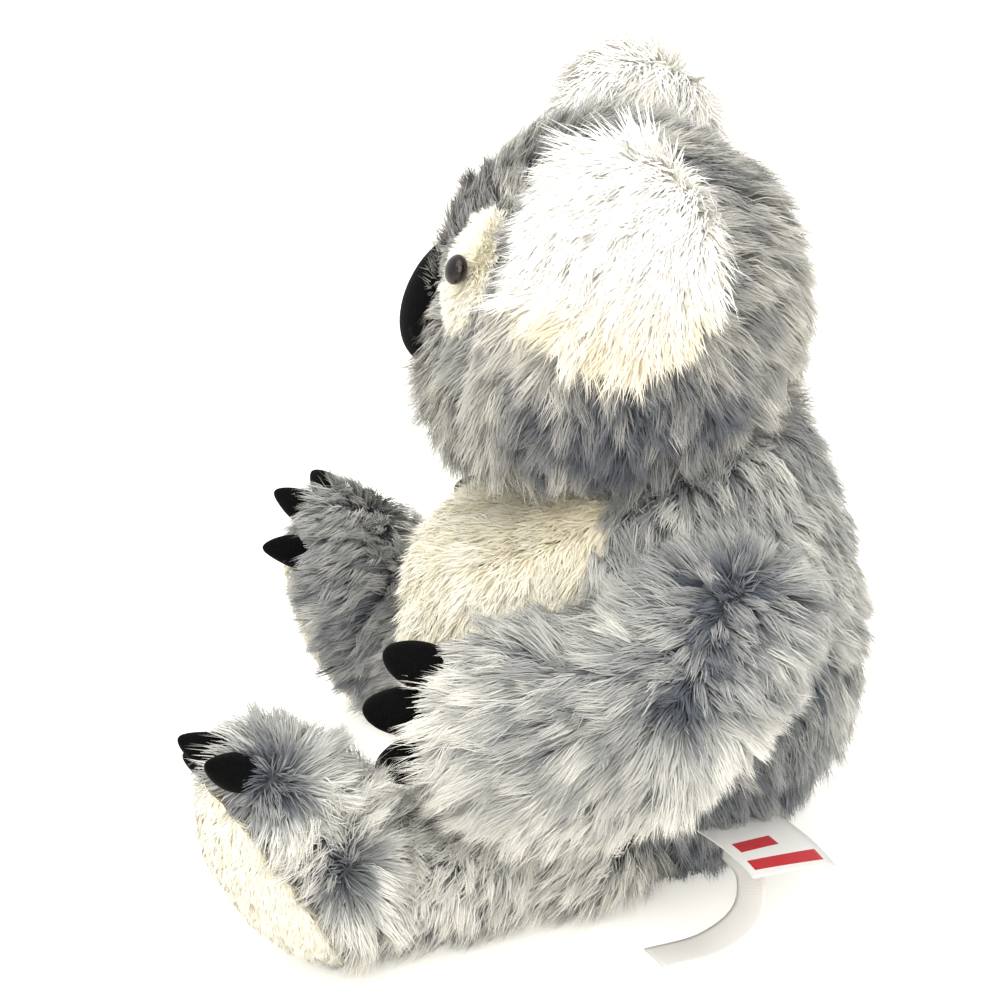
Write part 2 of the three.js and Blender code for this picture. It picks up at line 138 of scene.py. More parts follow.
def srgb(red: int, green: int, blue: int) -> Colour:
    """A colour written in 0 to 255 steps, as the linear values that a shader takes."""
    steps = [value / 255 for value in (red, green, blue)]
    return tuple(s / 12.92 if s <= 0.04045 else ((s + 0.055) / 1.055) ** 2.4 for s in steps)


def alone(obj: bpy.types.Object) -> bpy.types.Object:
    """Makes an object the only selected one and the active one.

    Args:
        obj: The object.

    Returns:
        The same object.
    """
    for other in bpy.context.selected_objects:
        other.select_set(False)
    obj.select_set(True)
    bpy.context.view_layer.objects.active = obj
    return obj


def finish_with(obj: bpy.types.Object, kind: str, **settings: object) -> None:
    """Adds a modifier to an object and applies it.

    Args:
        obj: The object.
        kind: The modifier's type.
        **settings: The modifier's settings.
    """
    alone(obj)
    modifier = obj.modifiers.new(kind.title(), kind)
    for name, value in settings.items():
        setattr(modifier, name, value)
    bpy.ops.object.modifier_apply(modifier=modifier.name)


def seat(obj: bpy.types.Object, place: Matrix) -> None:
    """Moves a piece to its place, which goes into its mesh.

    Args:
        obj: The piece.
        place: Its place, turn and scale.
    """
    alone(obj)
    obj.matrix_world = place
    bpy.ops.object.transform_apply(location=True, rotation=True, scale=True)


def linked(mesh: bpy.types.Mesh) -> bpy.types.Object:
    """Puts a mesh into the scene.

    Args:
        mesh: The mesh.

    Returns:
        Its new object.
    """
    obj = bpy.data.objects.new(mesh.name, mesh)
    bpy.context.scene.collection.objects.link(obj)
    return obj


def taken(obj: bpy.types.Object) -> bpy.types.Mesh:
    """Takes the mesh of a finished model, whose object isn't needed any more.

    Args:
        obj: The model.

    Returns:
        Its mesh.
    """
    mesh = obj.data
    bpy.data.objects.remove(obj)
    return mesh


def placed(centre: Vector, ahead: Vector, across: Vector) -> Matrix:
    """A place whose Z axis runs ahead and whose X axis lies as nearly as it can across.

    Args:
        centre: Where it is.
        ahead: The way that Z takes.
        across: The way that X takes as nearly as it can.

    Returns:
        The place as a matrix.
    """
    z = ahead.normalized()
    y = z.cross(across).normalized()
    x = y.cross(z)
    turn = Matrix((x, y, z)).transposed().to_4x4()
    return Matrix.Translation(centre) @ turn


def dressed(
    obj: bpy.types.Object,
    name: str,
    material: bpy.types.Material,
    body: str,
    slot: str,
    *nodes: str,
) -> None:
    """Names a piece, gives it its material and says what carries it and what it stands for.

    Args:
        obj: The piece.
        name: Its name.
        material: Its material.
        body: The body of the model that it rides on.
        slot: The record's material slot; not used.
        *nodes: The model's nodes that it replaces.
    """
    obj.name = name
    obj.data.name = name
    obj.data.materials.clear()
    obj.data.materials.append(material)
    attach(obj, body)
    if nodes:
        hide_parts(*nodes)
    LOG.info("%s: %d faces", name, len(obj.data.polygons))


class Shader:
    """A material with one Principled shader, and short ways to build the nodes before it."""

    def __init__(self, name: str, colour: Colour, roughness: float, **sockets: float) -> None:
        """Starts the material.

        Args:
            name: The material's name.
            colour: Its plain colour, until one is linked.
            roughness: Its roughness.
            **sockets: Other socket values, by name with _ for a space.
        """
        self.material = bpy.data.materials.new(name)
        self.material.use_nodes = True
        self.tree = self.material.node_tree
        self.bsdf = next(node for node in self.tree.nodes if node.type == "BSDF_PRINCIPLED")
        self.bsdf.inputs["Base Color"].default_value = (*colour, 1.0)
        self.bsdf.inputs["Roughness"].default_value = roughness
        for socket, value in sockets.items():
            self.bsdf.inputs[socket.replace("_", " ")].default_value = value

    def add(
        self, kind: str, links: dict[str | int, object] | None = None, **settings: object
    ) -> bpy.types.Node:
        """Adds a node.

        Args:
            kind: The node's type.
            links: For each input, an output to link to it or a plain value.
            **settings: The node's own settings.

        Returns:
            The node.
        """
        node = self.tree.nodes.new(kind)
        for name, value in settings.items():
            setattr(node, name, value)
        for name, value in (links or {}).items():
            socket = node.inputs[name]
            if isinstance(value, bpy.types.NodeSocket):
                self.tree.links.new(value, socket)
            else:
                socket.default_value = value
        return node

    def place(self) -> bpy.types.NodeSocket:
        """Object coordinates."""
        return self.add("ShaderNodeTexCoord").outputs["Object"]

    def strip(self, layer: str) -> bpy.types.NodeSocket:
        """The coordinates of one of the piece's own maps."""
        return self.add("ShaderNodeUVMap", uv_map=layer).outputs["UV"]

    def worked(self, operation: str, first: object, second: object) -> bpy.types.NodeSocket:
        """What an operation makes of two values."""
        return self.add("ShaderNodeMath", {0: first, 1: second}, operation=operation).outputs[0]

    def noise(self, scale: float, detail: float = 3.0) -> bpy.types.NodeSocket:
        """Noise over Object coordinates."""
        links = {"Vector": self.place(), "Scale": scale, "Detail": detail}
        return self.add("ShaderNodeTexNoise", links).outputs["Fac"]

    def ramp(
        self, factor: bpy.types.NodeSocket, *stops: tuple[float, Colour]
    ) -> bpy.types.NodeSocket:
        """A colour ramp.

        Args:
            factor: What runs along it.
            *stops: Its stops, each a place and a colour.

        Returns:
            The ramp's colour.
        """
        node = self.add("ShaderNodeValToRGB", {"Fac": factor})
        elements = node.color_ramp.elements
        while len(elements) < len(stops):
            elements.new(0.5)
        for element, (place, colour) in zip(elements, stops):
            element.position = place
            element.color = (*colour, 1.0)
        return node.outputs["Color"]

    def mix(
        self, factor: bpy.types.NodeSocket, first: bpy.types.NodeSocket, second: object
    ) -> bpy.types.NodeSocket:
        """Two colours mixed.

        Args:
            factor: The share of the second one.
            first: The first colour.
            second: The second colour, linked or plain.

        Returns:
            The mixed colour.
        """
        node = self.add("ShaderNodeMix", None, data_type="RGBA")
        for number, value in ((0, factor), (6, first), (7, second)):
            if isinstance(value, bpy.types.NodeSocket):
                self.tree.links.new(value, node.inputs[number])
            else:
                node.inputs[number].default_value = (*value, 1.0)
        return node.outputs[2]

    def colour(self, output: bpy.types.NodeSocket) -> None:
        """Links the shader's colour."""
        self.tree.links.new(output, self.bsdf.inputs["Base Color"])

    def bump(self, height: bpy.types.NodeSocket, strength: float, depth: float) -> None:
        """Links a bump to the shader.

        Args:
            height: The pattern that stands up.
            strength: How strongly it shows.
            depth: How deep it is.
        """
        links = {"Height": height, "Strength": strength, "Distance": depth}
        normal = self.add("ShaderNodeBump", links).outputs["Normal"]
        self.tree.links.new(normal, self.bsdf.inputs["Normal"])


# ---- finishes


@dataclass(frozen=True)
class PileFinish:
    """The colours of a pile, from root to tip, for its darkest and its palest strands."""

    name: str
    dark: tuple[Colour, Colour, Colour]
    pale: tuple[Colour, Colour, Colour]
    sheen: float = 0.2

    def material(self) -> bpy.types.Material:
        """The pile's material.

        The map of a strand runs from dark to pale strands across and from root to tip upwards.

        Returns:
            The material.
        """
        sockets = {"Sheen_Weight": self.sheen, "Sheen_Roughness": 0.5, "Specular_IOR_Level": 0.2}
        shader = Shader(self.name, self.pale[1], 0.85, **sockets)
        axes = shader.add("ShaderNodeSeparateXYZ", {"Vector": shader.strip("OFBake")})
        up = axes.outputs["Y"]
        darkest = shader.ramp(up, *zip((0.0, 0.5, 0.95), self.dark))
        palest = shader.ramp(up, *zip((0.0, 0.45, 0.9), self.pale))
        shader.colour(shader.mix(axes.outputs["X"], darkest, palest))
        return shader.material


@dataclass(frozen=True)
class ClothFinish:
    """The knitted backing that the pile stands in, which shows only where the pile parts."""

    name: str
    colour: Colour
    shade: Colour
    rib: float = 900.0
    dye: float = 260.0

    def material(self) -> bpy.types.Material:
        """The backing's material: fine knit ribs and uneven dye.

        Returns:
            The material.
        """
        shader = Shader(self.name, self.colour, 0.95, Specular_IOR_Level=0.15)
        shader.colour(shader.ramp(shader.noise(self.dye), (0.3, self.shade), (0.7, self.colour)))
        links = {"Vector": shader.place(), "Scale": self.rib, "Distortion": 1.5}
        shader.bump(shader.add("ShaderNodeTexWave", links).outputs["Fac"], 0.4, 0.2 * MM)
        return shader.material


@dataclass(frozen=True)
class SuedeFinish:
    """Brushed black cloth with a very short nap."""

    name: str
    colour: Colour
    # colour of the paler grain, a painted glint of the nap
    worn: Colour
    grain: float = 1400.0
    nap: float = 2600.0

    def material(self) -> bpy.types.Material:
        """The suede's material: a fine nap, with paler grain painted where the nap would catch
        light.

        Returns:
            The material.
        """
        sockets = {"Sheen_Weight": 0.02, "Sheen_Roughness": 0.45, "Specular_IOR_Level": 0.08}
        shader = Shader(self.name, self.colour, 0.9, **sockets)
        grain = shader.noise(self.grain, 4.0)
        # painted glint: random paler grain stands in for the nap catching light
        shader.colour(shader.ramp(grain, (0.42, self.colour), (0.78, self.worn)))
        shader.bump(shader.noise(self.nap, 3.0), 0.55, 0.25 * MM)
        return shader.material


@dataclass(frozen=True)
class EyeFinish:
    """Polished plastic with a dark brown iris round its pupil, seen through a clear coat."""

    name: str
    pupil: Colour
    iris: Colour
    reach: float = 5.0 * MM

    def material(self, centre: Vector) -> bpy.types.Material:
        """The eye's material.

        Args:
            centre: The middle of the pupil, on the front of the eye.

        Returns:
            The material.
        """
        sockets = {"Specular_IOR_Level": 0.35, "Coat_Weight": 0.25, "Coat_Roughness": 0.03}
        shader = Shader(self.name, self.pupil, 0.12, **sockets)
        links = {"Vector": shader.place(), "Location": tuple(-centre)}
        moved = shader.add("ShaderNodeMapping", links, vector_type="POINT").outputs["Vector"]
        far = shader.add("ShaderNodeVectorMath", {0: moved}, operation="LENGTH").outputs["Value"]
        share = shader.worked("MULTIPLY", far, 1 / self.reach)
        rings = zip((0.0, 0.5, 0.62, 0.95), (self.pupil, self.pupil, self.iris, self.pupil))
        shader.colour(shader.ramp(share, *rings))
        return shader.material


@dataclass(frozen=True)
class SatinFinish:
    """Woven satin ribbon: fine cross threads and a soft gloss."""

    name: str
    colour: Colour
    thread: Colour
    threads: float = 44.0

    def shader(self) -> Shader:
        """The satin's shader, before any print on it.

        Returns:
            The shader.
        """
        sockets = {"Sheen_Weight": 0.25, "Sheen_Roughness": 0.4, "Specular_IOR_Level": 0.45}
        shader = Shader(self.name, self.colour, 0.42, **sockets)
        links = {"Vector": shader.strip("Strip"), "Scale": self.threads}
        links |= {"Distortion": 0.3, "Detail": 1.0}
        weave = shader.add("ShaderNodeTexWave", links, bands_direction="Y").outputs["Fac"]
        shader.colour(shader.ramp(weave, (0.1, self.thread), (0.6, self.colour)))
        shader.bump(weave, 0.25, 0.08 * MM)
        return shader


@dataclass(frozen=True)
class PlasticFinish:
    """Plain moulded plastic."""

    name: str
    colour: Colour
    grain: float = 900.0

    def material(self) -> bpy.types.Material:
        """The plastic's material: faint mould texture.

        Returns:
            The material.
        """
        shader = Shader(self.name, self.colour, 0.45)
        shader.bump(shader.noise(self.grain, 2.0), 0.08, 0.1 * MM)
        return shader.material


GREY = PileFinish(
    "grey pile",
    dark=(srgb(34, 36, 41), srgb(68, 73, 81), srgb(108, 114, 122)),
    pale=(srgb(156, 156, 154), srgb(228, 227, 219), srgb(248, 244, 232)),
)
WARM_GREY = PileFinish(
    "warm grey pile",
    dark=(srgb(32, 33, 37), srgb(68, 71, 78), srgb(110, 114, 121)),
    pale=(srgb(158, 156, 151), srgb(228, 224, 212), srgb(248, 243, 227)),
)
CREAM = PileFinish(
    "cream pile",
    dark=(srgb(238, 222, 188), srgb(244, 232, 200), srgb(248, 239, 210)),
    pale=(srgb(248, 242, 220), srgb(251, 247, 229), srgb(254, 251, 238)),
)
WHITE = PileFinish(
    "white pile",
    dark=(srgb(232, 217, 184), srgb(243, 230, 200), srgb(248, 238, 212)),
    pale=(srgb(251, 249, 241), srgb(254, 253, 248), srgb(255, 255, 252)),
)
WHITE_CLOTH = ClothFinish("white backing", srgb(252, 250, 242), srgb(244, 240, 228))
GREY_CLOTH = ClothFinish("grey backing", srgb(92, 94, 98), srgb(66, 68, 72))
CREAM_CLOTH = ClothFinish("cream backing", srgb(250, 243, 222), srgb(244, 234, 208))
BLACK_SUEDE = SuedeFinish("black suede", srgb(4, 4, 4), srgb(13, 13, 13))
DARK_EYE = EyeFinish("eye plastic", srgb(8, 7, 7), srgb(44, 24, 12))
WHITE_SATIN = SatinFinish("white satin", srgb(249, 248, 243), srgb(230, 227, 218))
WHITE_PLASTIC = PlasticFinish("washer plastic", srgb(225, 226, 224))
BAR_RED = srgb(196, 30, 40)


# ---- skins


@dataclass
class Skin:
    """A stuffed skin: a copy of the model's solids, a little smaller, that its fill swells."""

    name: str
    body: str
    nodes: tuple[str, ...]
    slot: str
    voxel: float = 4.0 * MM
    inset: float = 4.0 * MM
    swell: float = 1.5 * MM
    fill: float = 0.7
    pressure: float = 4.0
    quality: int = 5
    obj: bpy.types.Object = field(init=False)
    start: Array = field(init=False)

    def cut(self) -> None:
        """Copies the nodes into one closed shell, a little smaller than they are."""
        copies = [linked(bpy.data.objects[node].data.copy()) for node in self.nodes]
        self.obj = alone(copies[0])
        for copy in copies[1:]:
            copy.select_set(True)
        if len(copies) > 1:
            bpy.ops.object.join()
        finish_with(self.obj, "WELD", merge_threshold=0.01 * MM)
        finish_with(self.obj, "REMESH", mode="VOXEL", voxel_size=self.voxel)
        finish_with(self.obj, "DISPLACE", strength=-self.inset, mid_level=0.0)
        finish_with(self.obj, "SMOOTH", factor=0.5, iterations=5)
        self.start = coordinates(self.obj.data)

    def add_fill(self) -> None:
        """Adds the cloth simulation whose pressure is the stuffing."""
        cloth = self.obj.modifiers.new("Stuffing", "CLOTH")
        cloth.settings.quality = self.quality
        cloth.settings.use_pressure = True
        cloth.settings.uniform_pressure_force = self.pressure
        cloth.settings.effector_weights.gravity = 0.0
        cloth.collision_settings.use_collision = False

    def settle(self) -> None:
        """Keeps the swelling to its limit and off the floor, and rounds the cloth off."""
        mesh = self.obj.data
        moved = coordinates(mesh) - self.start
        far = np.linalg.norm(moved, axis=1, keepdims=True)
        places = self.start + moved * np.minimum(1.0, self.swell / np.maximum(far, 1e-9))
        places[:, 2] = np.maximum(places[:, 2], FLOOR_GAP * 2)
        mesh.vertices.foreach_set("co", places.astype(np.float32).ravel())
        mesh.update()
        finish_with(self.obj, "SUBSURF", levels=1, render_levels=1)
        alone(self.obj)
        bpy.ops.object.shade_smooth()

    def dress(self, finish: ClothFinish) -> None:
        """Gives the skin its backing cloth, and lets it stand for its nodes."""
        dressed(self.obj, self.name, finish.material(), self.body, self.slot, *self.nodes)


def coordinates(mesh: bpy.types.Mesh) -> Array:
    """Reads a mesh's points.

    Args:
        mesh: The mesh.

    Returns:
        Its points, one to a row.
    """
    flat = np.empty(len(mesh.vertices) * 3, np.float32)
    mesh.vertices.foreach_get("co", flat)
    return flat.reshape(-1, 3).astype(float)


def stuff(skins: list[Skin], last_step: int = 20) -> None:
    """Cuts the skins and fills them all in one simulation.

    Args:
        skins: The skins.
        last_step: Where the simulation ends.
    """
    for skin in skins:
        skin.cut()
    for skin in skins:
        skin.add_fill()
    for step in range(1, last_step + 1):
        bpy.context.scene.frame_set(step)
    for skin in skins:
        alone(skin.obj)
        bpy.ops.object.modifier_apply(modifier="Stuffing")
    bpy.context.scene.frame_set(1)
    for skin in skins:
        skin.settle()


class Surface:
    """A skin as arrays of triangles that strands can be rooted on."""

    def __init__(self, obj: bpy.types.Object) -> None:
        """Reads the skin's mesh.

        Args:
            obj: The skin's object.
        """
        mesh = obj.data
        mesh.calc_loop_triangles()
        self.points = coordinates(mesh)
        normals = np.empty(len(mesh.vertices) * 3, np.float32)
        mesh.vertex_normals.foreach_get("vector", normals)
        self.normals = normals.reshape(-1, 3).astype(float)
        corners = np.empty(len(mesh.loop_triangles) * 3, np.int32)
        mesh.loop_triangles.foreach_get("vertices", corners)
        self.corners = corners.reshape(-1, 3)
        places = self.points[self.corners]
        square = np.cross(places[:, 1] - places[:, 0], places[:, 2] - places[:, 0])
        self.areas = np.linalg.norm(square, axis=1) / 2
        self.centres = places.mean(1)
        self.facing = unit(square)
        self.tree = BVHTree.FromPolygons(self.points.tolist(), self.corners.tolist())

    def holds(self, points: Array) -> Array:
        """Tells which places lie inside this skin.

        Args:
            points: The places.

        Returns:
            True for each place that does.
        """
        inside = np.zeros(len(points), bool)
        low, high = self.points.min(0), self.points.max(0)
        for i in np.where(np.all((points > low) & (points < high), axis=1))[0]:
            place, normal, _, _ = self.tree.find_nearest(points[i])
            inside[i] = (Vector(points[i]) - place).dot(normal) < 0
        return inside

    def scatter(
        self, count: int, weights: Array, rng: np.random.Generator
    ) -> tuple[Array, Array]:
        """Random places on the skin.

        Args:
            count: How many.
            weights: How likely each triangle is.
            rng: The source of chance.

        Returns:
            The places and the skin's normals there.
        """
        pick = rng.choice(len(weights), size=count, p=weights / weights.sum())
        first, second = rng.random((2, count, 1))
        over = first + second > 1
        first, second = np.where(over, 1 - first, first), np.where(over, 1 - second, second)
        shares = np.concatenate([1 - first - second, first, second], 1)[:, :, None]
        corners = self.corners[pick]
        places = (self.points[corners] * shares).sum(1)
        return places, unit((self.normals[corners] * shares).sum(1))


# ---- pile


@dataclass(frozen=True)
class Pile:
    """One layer of fur. Lengths are in metres and angles in degrees from upright."""

    density: float  # strands on a square millimetre
    length: float
    width: float
    lean: float = 35.0  # at the root
    droop: float = 72.0  # at the tip
    lock: float = 2.6 * MM  # how wide a lock is that strands gather into
    gather: float = 0.6  # how far their tips draw in to the lock's middle
    frizz: float = 0.05
    sag: float = 0.12
    steps: int = 2
    pale: float = 0.0
    glint: float = 0.28  # how much of a strand's own facing its shading takes
    roll: float = 0.7  # how far a strand may turn about its length, in radians


@dataclass(frozen=True)
class Chance:
    """How far locks, and strands within a lock, stray from their layer's values."""

    lock_turn: float = 0.26
    lock_length: float = 0.12
    lock_lift: float = 0.12
    lock_pale: float = 0.1
    swirl: float = 0.35
    swirl_size: float = 22 * MM
    curl: float = 0.3
    curl_size: float = 9 * MM
    tuft_size: float = 7 * MM
    tuft_lift: float = -0.2
    # painted light and shade: raised tufts paler, the lying ones between them darker
    tuft_pale: float = 0.13
    turn: float = 0.16
    lift: float = 0.1
    pale: float = 0.07


class Coat:
    """The fur on one skin. Each kind of coat says how it lies, how long it is and how pale."""

    finish = GREY
    slot = "grey_plush"
    chance = Chance()
    seat_height = 1.5 * MM  # below it, nothing grows on what faces down
    cover = 2.5 * MM  # nothing grows where another skin lies this near

    def __init__(self, name: str, body: str, seed: int, piles: dict[str, Pile]) -> None:
        """Keeps the coat's layers.

        Args:
            name: The start of its pieces' names.
            body: The body that carries it.
            seed: Where its chance starts.
            piles: Its layers, by name.
        """
        self.name, self.body, self.seed, self.piles = name, body, seed, piles

    def comb(self, points: Array, normals: Array) -> Array:
        """The way that the fur is brushed at each place."""
        return np.tile(DOWN, (len(points), 1))

    def trim(self, points: Array, normals: Array) -> Array:
        """The length at each place, as a share of the layer's."""
        return np.ones(len(points))

    def thin(self, points: Array, normals: Array) -> Array:
        """How dense the fur is at each place, from 0 to 1."""
        return np.ones(len(points))

    def flat(self, points: Array) -> Array:
        """How much of the layer's lean the fur takes at each place."""
        return np.ones(len(points))

    def shade(self, points: Array, normals: Array) -> Array:
        """How pale the strands are at each place, from 0 to 1."""
        return np.full(len(points), 0.5)

    def stretch(
        self,
        roots: Array,
        normals: Array,
        pile: Pile,
        turn: Array,
        grown: Array,
        lift: Array,
    ) -> Array:
        """The middle lines of strands.

        Args:
            roots: Where they stand.
            normals: The skin's normals there.
            pile: Their layer.
            turn: How far each turns off the brushed way, in radians.
            grown: Each one's length.
            lift: How much further each leans, in radians.

        Returns:
            The places along each strand, from its root to its tip.
        """
        way = self.comb(roots, normals)
        along = unit(way - normals * (way * normals).sum(1, keepdims=True))
        across = np.cross(normals, along)
        along = along * np.cos(turn)[:, None] + across * np.sin(turn)[:, None]
        flat = self.flat(roots)
        places = [roots]
        step = (grown / pile.steps)[:, None]
        for i in range(pile.steps):
            share = (i + 0.5) / pile.steps
            angle = pile.lean + (pile.droop - pile.lean) * share
            lean = np.radians(angle) * flat + lift
            onward = normals * np.cos(lean)[:, None] + along * np.sin(lean)[:, None]
            onward[:, 2] -= pile.sag * share * 2
            places.append(places[-1] + unit(onward) * step)
        return np.stack(places, 1)

    def grow(self, surface: Surface, blockers: list[Surface]) -> None:
        """Grows the coat's layers.

        Args:
            surface: The skin that it stands on.
            blockers: Other skins that it doesn't grow into.
        """
        weights = surface.areas * self.thin(surface.centres, surface.facing)
        weights *= (surface.centres[:, 2] > self.seat_height) | (surface.facing[:, 2] > -0.5)
        ahead = surface.centres + surface.facing * self.cover
        for blocker in blockers:
            weights *= ~blocker.holds(ahead)
        material = self.finish.material()
        for number, (layer, pile) in enumerate(self.piles.items()):
            rng = np.random.default_rng(self.seed + number)
            count = int(weights.sum() * 1e6 * pile.density)
            strands = self.strands(surface, weights, pile, count, rng)
            triangles = count * (2 * pile.steps - 1)
            parts = math.ceil(triangles / PIECE_TRIANGLES)
            for part, rows in enumerate(np.array_split(np.arange(count), parts)):
                piece = ribbons(pile, *(values[rows] for values in strands), rng)
                ending = f"_{part + 1}" if parts > 1 else ""
                name = f"{self.name}_{layer}{ending}"
                dressed(piece, name, material, self.body, self.slot)

    def strands(
        self, surface: Surface, weights: Array, pile: Pile, count: int, rng: np.random.Generator
    ) -> tuple[Array, Array, Array]:
        """The strands of one layer, which gather into locks.

        Args:
            surface: The skin that they stand on.
            weights: How likely each of its triangles is.
            pile: The layer.
            count: How many there are.
            rng: The source of chance.

        Returns:
            Their lines, the skin's normals at their roots and how pale each is.
        """
        chance = self.chance
        locks = max(8, int(weights.sum() / pile.lock**2))
        starts, facing = surface.scatter(locks, weights, rng)
        tuft = waves(starts, chance.tuft_size, self.seed + 2)
        lock_turn = rng.normal(0, chance.lock_turn, locks)
        lock_turn += chance.swirl * waves(starts, chance.swirl_size, self.seed)
        lock_turn += chance.curl * waves(starts, chance.curl_size, self.seed + 1)
        lock_long = np.clip(rng.normal(1.0, chance.lock_length, locks), 0.7, 1.3)
        lock_lift = rng.normal(0, chance.lock_lift, locks) + chance.tuft_lift * tuft
        # painted light and shade of tufts: raised tufts are paler, lying ones darker
        lock_pale = rng.normal(0, chance.lock_pale, locks) + chance.tuft_pale * tuft
        grown = pile.length * self.trim(starts, facing) * lock_long
        guides = self.stretch(starts, facing, pile, lock_turn, grown, lock_lift)
        tree = KDTree(locks)
        for i, start in enumerate(starts):
            tree.insert(start, i)
        tree.balance()
        roots, normals = surface.scatter(count, weights, rng)
        near = np.fromiter((tree.find(root)[1] for root in roots), np.int64, count)
        turn = lock_turn[near] + rng.normal(0, chance.turn, count)
        grown = pile.length * self.trim(roots, normals) * lock_long[near]
        grown *= rng.uniform(0.75, 1.1, count)
        lift = lock_lift[near] + rng.normal(0, chance.lift, count)
        lines = self.stretch(roots, normals, pile, turn, grown, lift)
        share = np.linspace(0, 1, pile.steps + 1)[None, :, None]
        lines += (guides[near] - lines) * pile.gather * share**1.3
        lines += rng.normal(size=lines.shape) * (grown * pile.frizz)[:, None, None] * share
        floor = FLOOR_GAP + rng.uniform(0, 0.8 * MM, (count, 1)) * share[:, :, 0]
        lines[:, :, 2] = np.maximum(lines[:, :, 2], floor)
        pale = self.shade(roots, normals) + lock_pale[near]
        pale += rng.normal(0, chance.pale, count) + pile.pale
        return lines, normals, np.clip(pale, 0.0, 1.0)


def ribbons(
    pile: Pile, lines: Array, normals: Array, pale: Array, rng: np.random.Generator
) -> bpy.types.Object:
    """Makes strands into one mesh of narrow ribbons that taper to a point.

    Args:
        pile: The strands' layer.
        lines: The places along each strand.
        normals: The skin's normal at each root.
        pale: How pale each strand is.
        rng: The source of chance.

    Returns:
        The mesh's object.
    """
    count, stations = lines.shape[:2]
    steps = stations - 1
    ahead = unit(np.gradient(lines, axis=1))
    up = np.repeat(normals[:, None, :], stations, 1)
    left = unit(np.cross(up, ahead) + 1e-6)
    above = np.cross(ahead, left)
    roll = rng.uniform(-pile.roll, pile.roll, (count, 1, 1))
    side = left * np.cos(roll) + above * np.sin(roll)
    face = above * np.cos(roll) - left * np.sin(roll)
    share = np.linspace(0, 1, stations)[None, :, None]
    half = pile.width / 2 * rng.uniform(0.7, 1.3, (count, 1, 1)) * (1 - share) ** 0.55
    steep = (ahead * up).sum(2, keepdims=True) ** 2
    own = pile.glint + (1 - pile.glint) * steep
    soft = unit(up * (1 - own) + face * own)
    points = np.empty((count, 2 * steps + 1, 3), np.float32)
    points[:, 0:-1:2] = (lines - side * half)[:, :-1]
    points[:, 1:-1:2] = (lines + side * half)[:, :-1]
    points[:, -1] = lines[:, -1]
    shading = np.repeat(soft, 2, axis=1)[:, :-1].astype(np.float32)
    return strand_mesh(points, shading, pale)


def strand_mesh(points: Array, shading: Array, pale: Array) -> bpy.types.Object:
    """Joins the points of ribbons into a mesh, with its map and its shading.

    Args:
        points: For each strand its points, two for each station and one at the tip.
        shading: The shading normal of each point.
        pale: How pale each strand is.

    Returns:
        The mesh's object.
    """
    count, size = points.shape[:2]
    steps = size // 2
    corner = [n for i in range(0, size - 3, 2) for n in (i, i + 2, i + 3, i + 1)]
    corner = np.array([*corner, size - 3, size - 1, size - 2])
    strand = np.arange(count)[:, None]
    corners = (corner[None] + size * strand).ravel()
    starts = (np.arange(0, 4 * steps, 4)[None] + len(corner) * strand).ravel()
    mesh = bpy.data.meshes.new("pile")
    mesh.vertices.add(count * size)
    mesh.vertices.foreach_set("co", points.ravel())
    mesh.loops.add(len(corners))
    mesh.loops.foreach_set("vertex_index", corners.astype(np.int32))
    mesh.polygons.add(len(starts))
    mesh.polygons.foreach_set("loop_start", starts.astype(np.int32))
    edge, reach, half = 0.02, 0.96, 0.004  # of the map: its margin, its use, a strand's width
    heights = np.repeat(np.arange(steps + 1), 2)[:-1] / steps
    sides = np.where(np.arange(size) % 2, half, -half)
    sides[-1] = 0.0
    across = edge + reach * pale[:, None] + sides[corner][None]
    upward = np.broadcast_to(edge + reach * heights[corner][None], across.shape)
    layer = mesh.uv_layers.new(name="OFBake")
    layer.data.foreach_set("uv", np.stack([across, upward], 2).astype(np.float32).ravel())
    attribute = mesh.attributes.new("custom_normal", "FLOAT_VECTOR", "POINT")
    attribute.data.foreach_set("vector", shading.ravel())
    mesh.update(calc_edges=True)
    return linked(mesh)


def from_line(points: Array, line: Array) -> tuple[Array, Array]:
    """The way from the nearest place of a line to each point, and its length.

    Args:
        points: The points.
        line: The line's places.

    Returns:
        For each point a row of three, and a distance.
    """
    best = np.full(len(points), np.inf)
    way = np.zeros_like(points)
    for start, end in zip(line[:-1], line[1:]):
        span = end - start
        share = np.clip((points - start) @ span / (span @ span), 0, 1)
        reach = points - (start + share[:, None] * span)
        far = np.linalg.norm(reach, axis=1)
        way[far < best] = reach[far < best]
        best = np.minimum(best, far)
    return way, best


def clear_of(points: Array, nodes: list[str]) -> Array:
    """Tells which places aren't inside the box of any of the named nodes.

    Args:
        points: The places.
        nodes: The nodes' names.

    Returns:
        For each place 1, or 0 inside a box.
    """
    clear = np.ones(len(points))
    for node in nodes:
        low, high = (np.array(corner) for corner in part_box(node))
        clear[((points > low) & (points < high)).all(1)] = 0.0
    return clear


# ---- coats


def belly_edge(points: Array) -> Array:
    """How far places lie behind the front, with the unevenness of the belly's fur line."""
    return points[:, 1] + 3 * MM * waves(points, 12 * MM, 4)


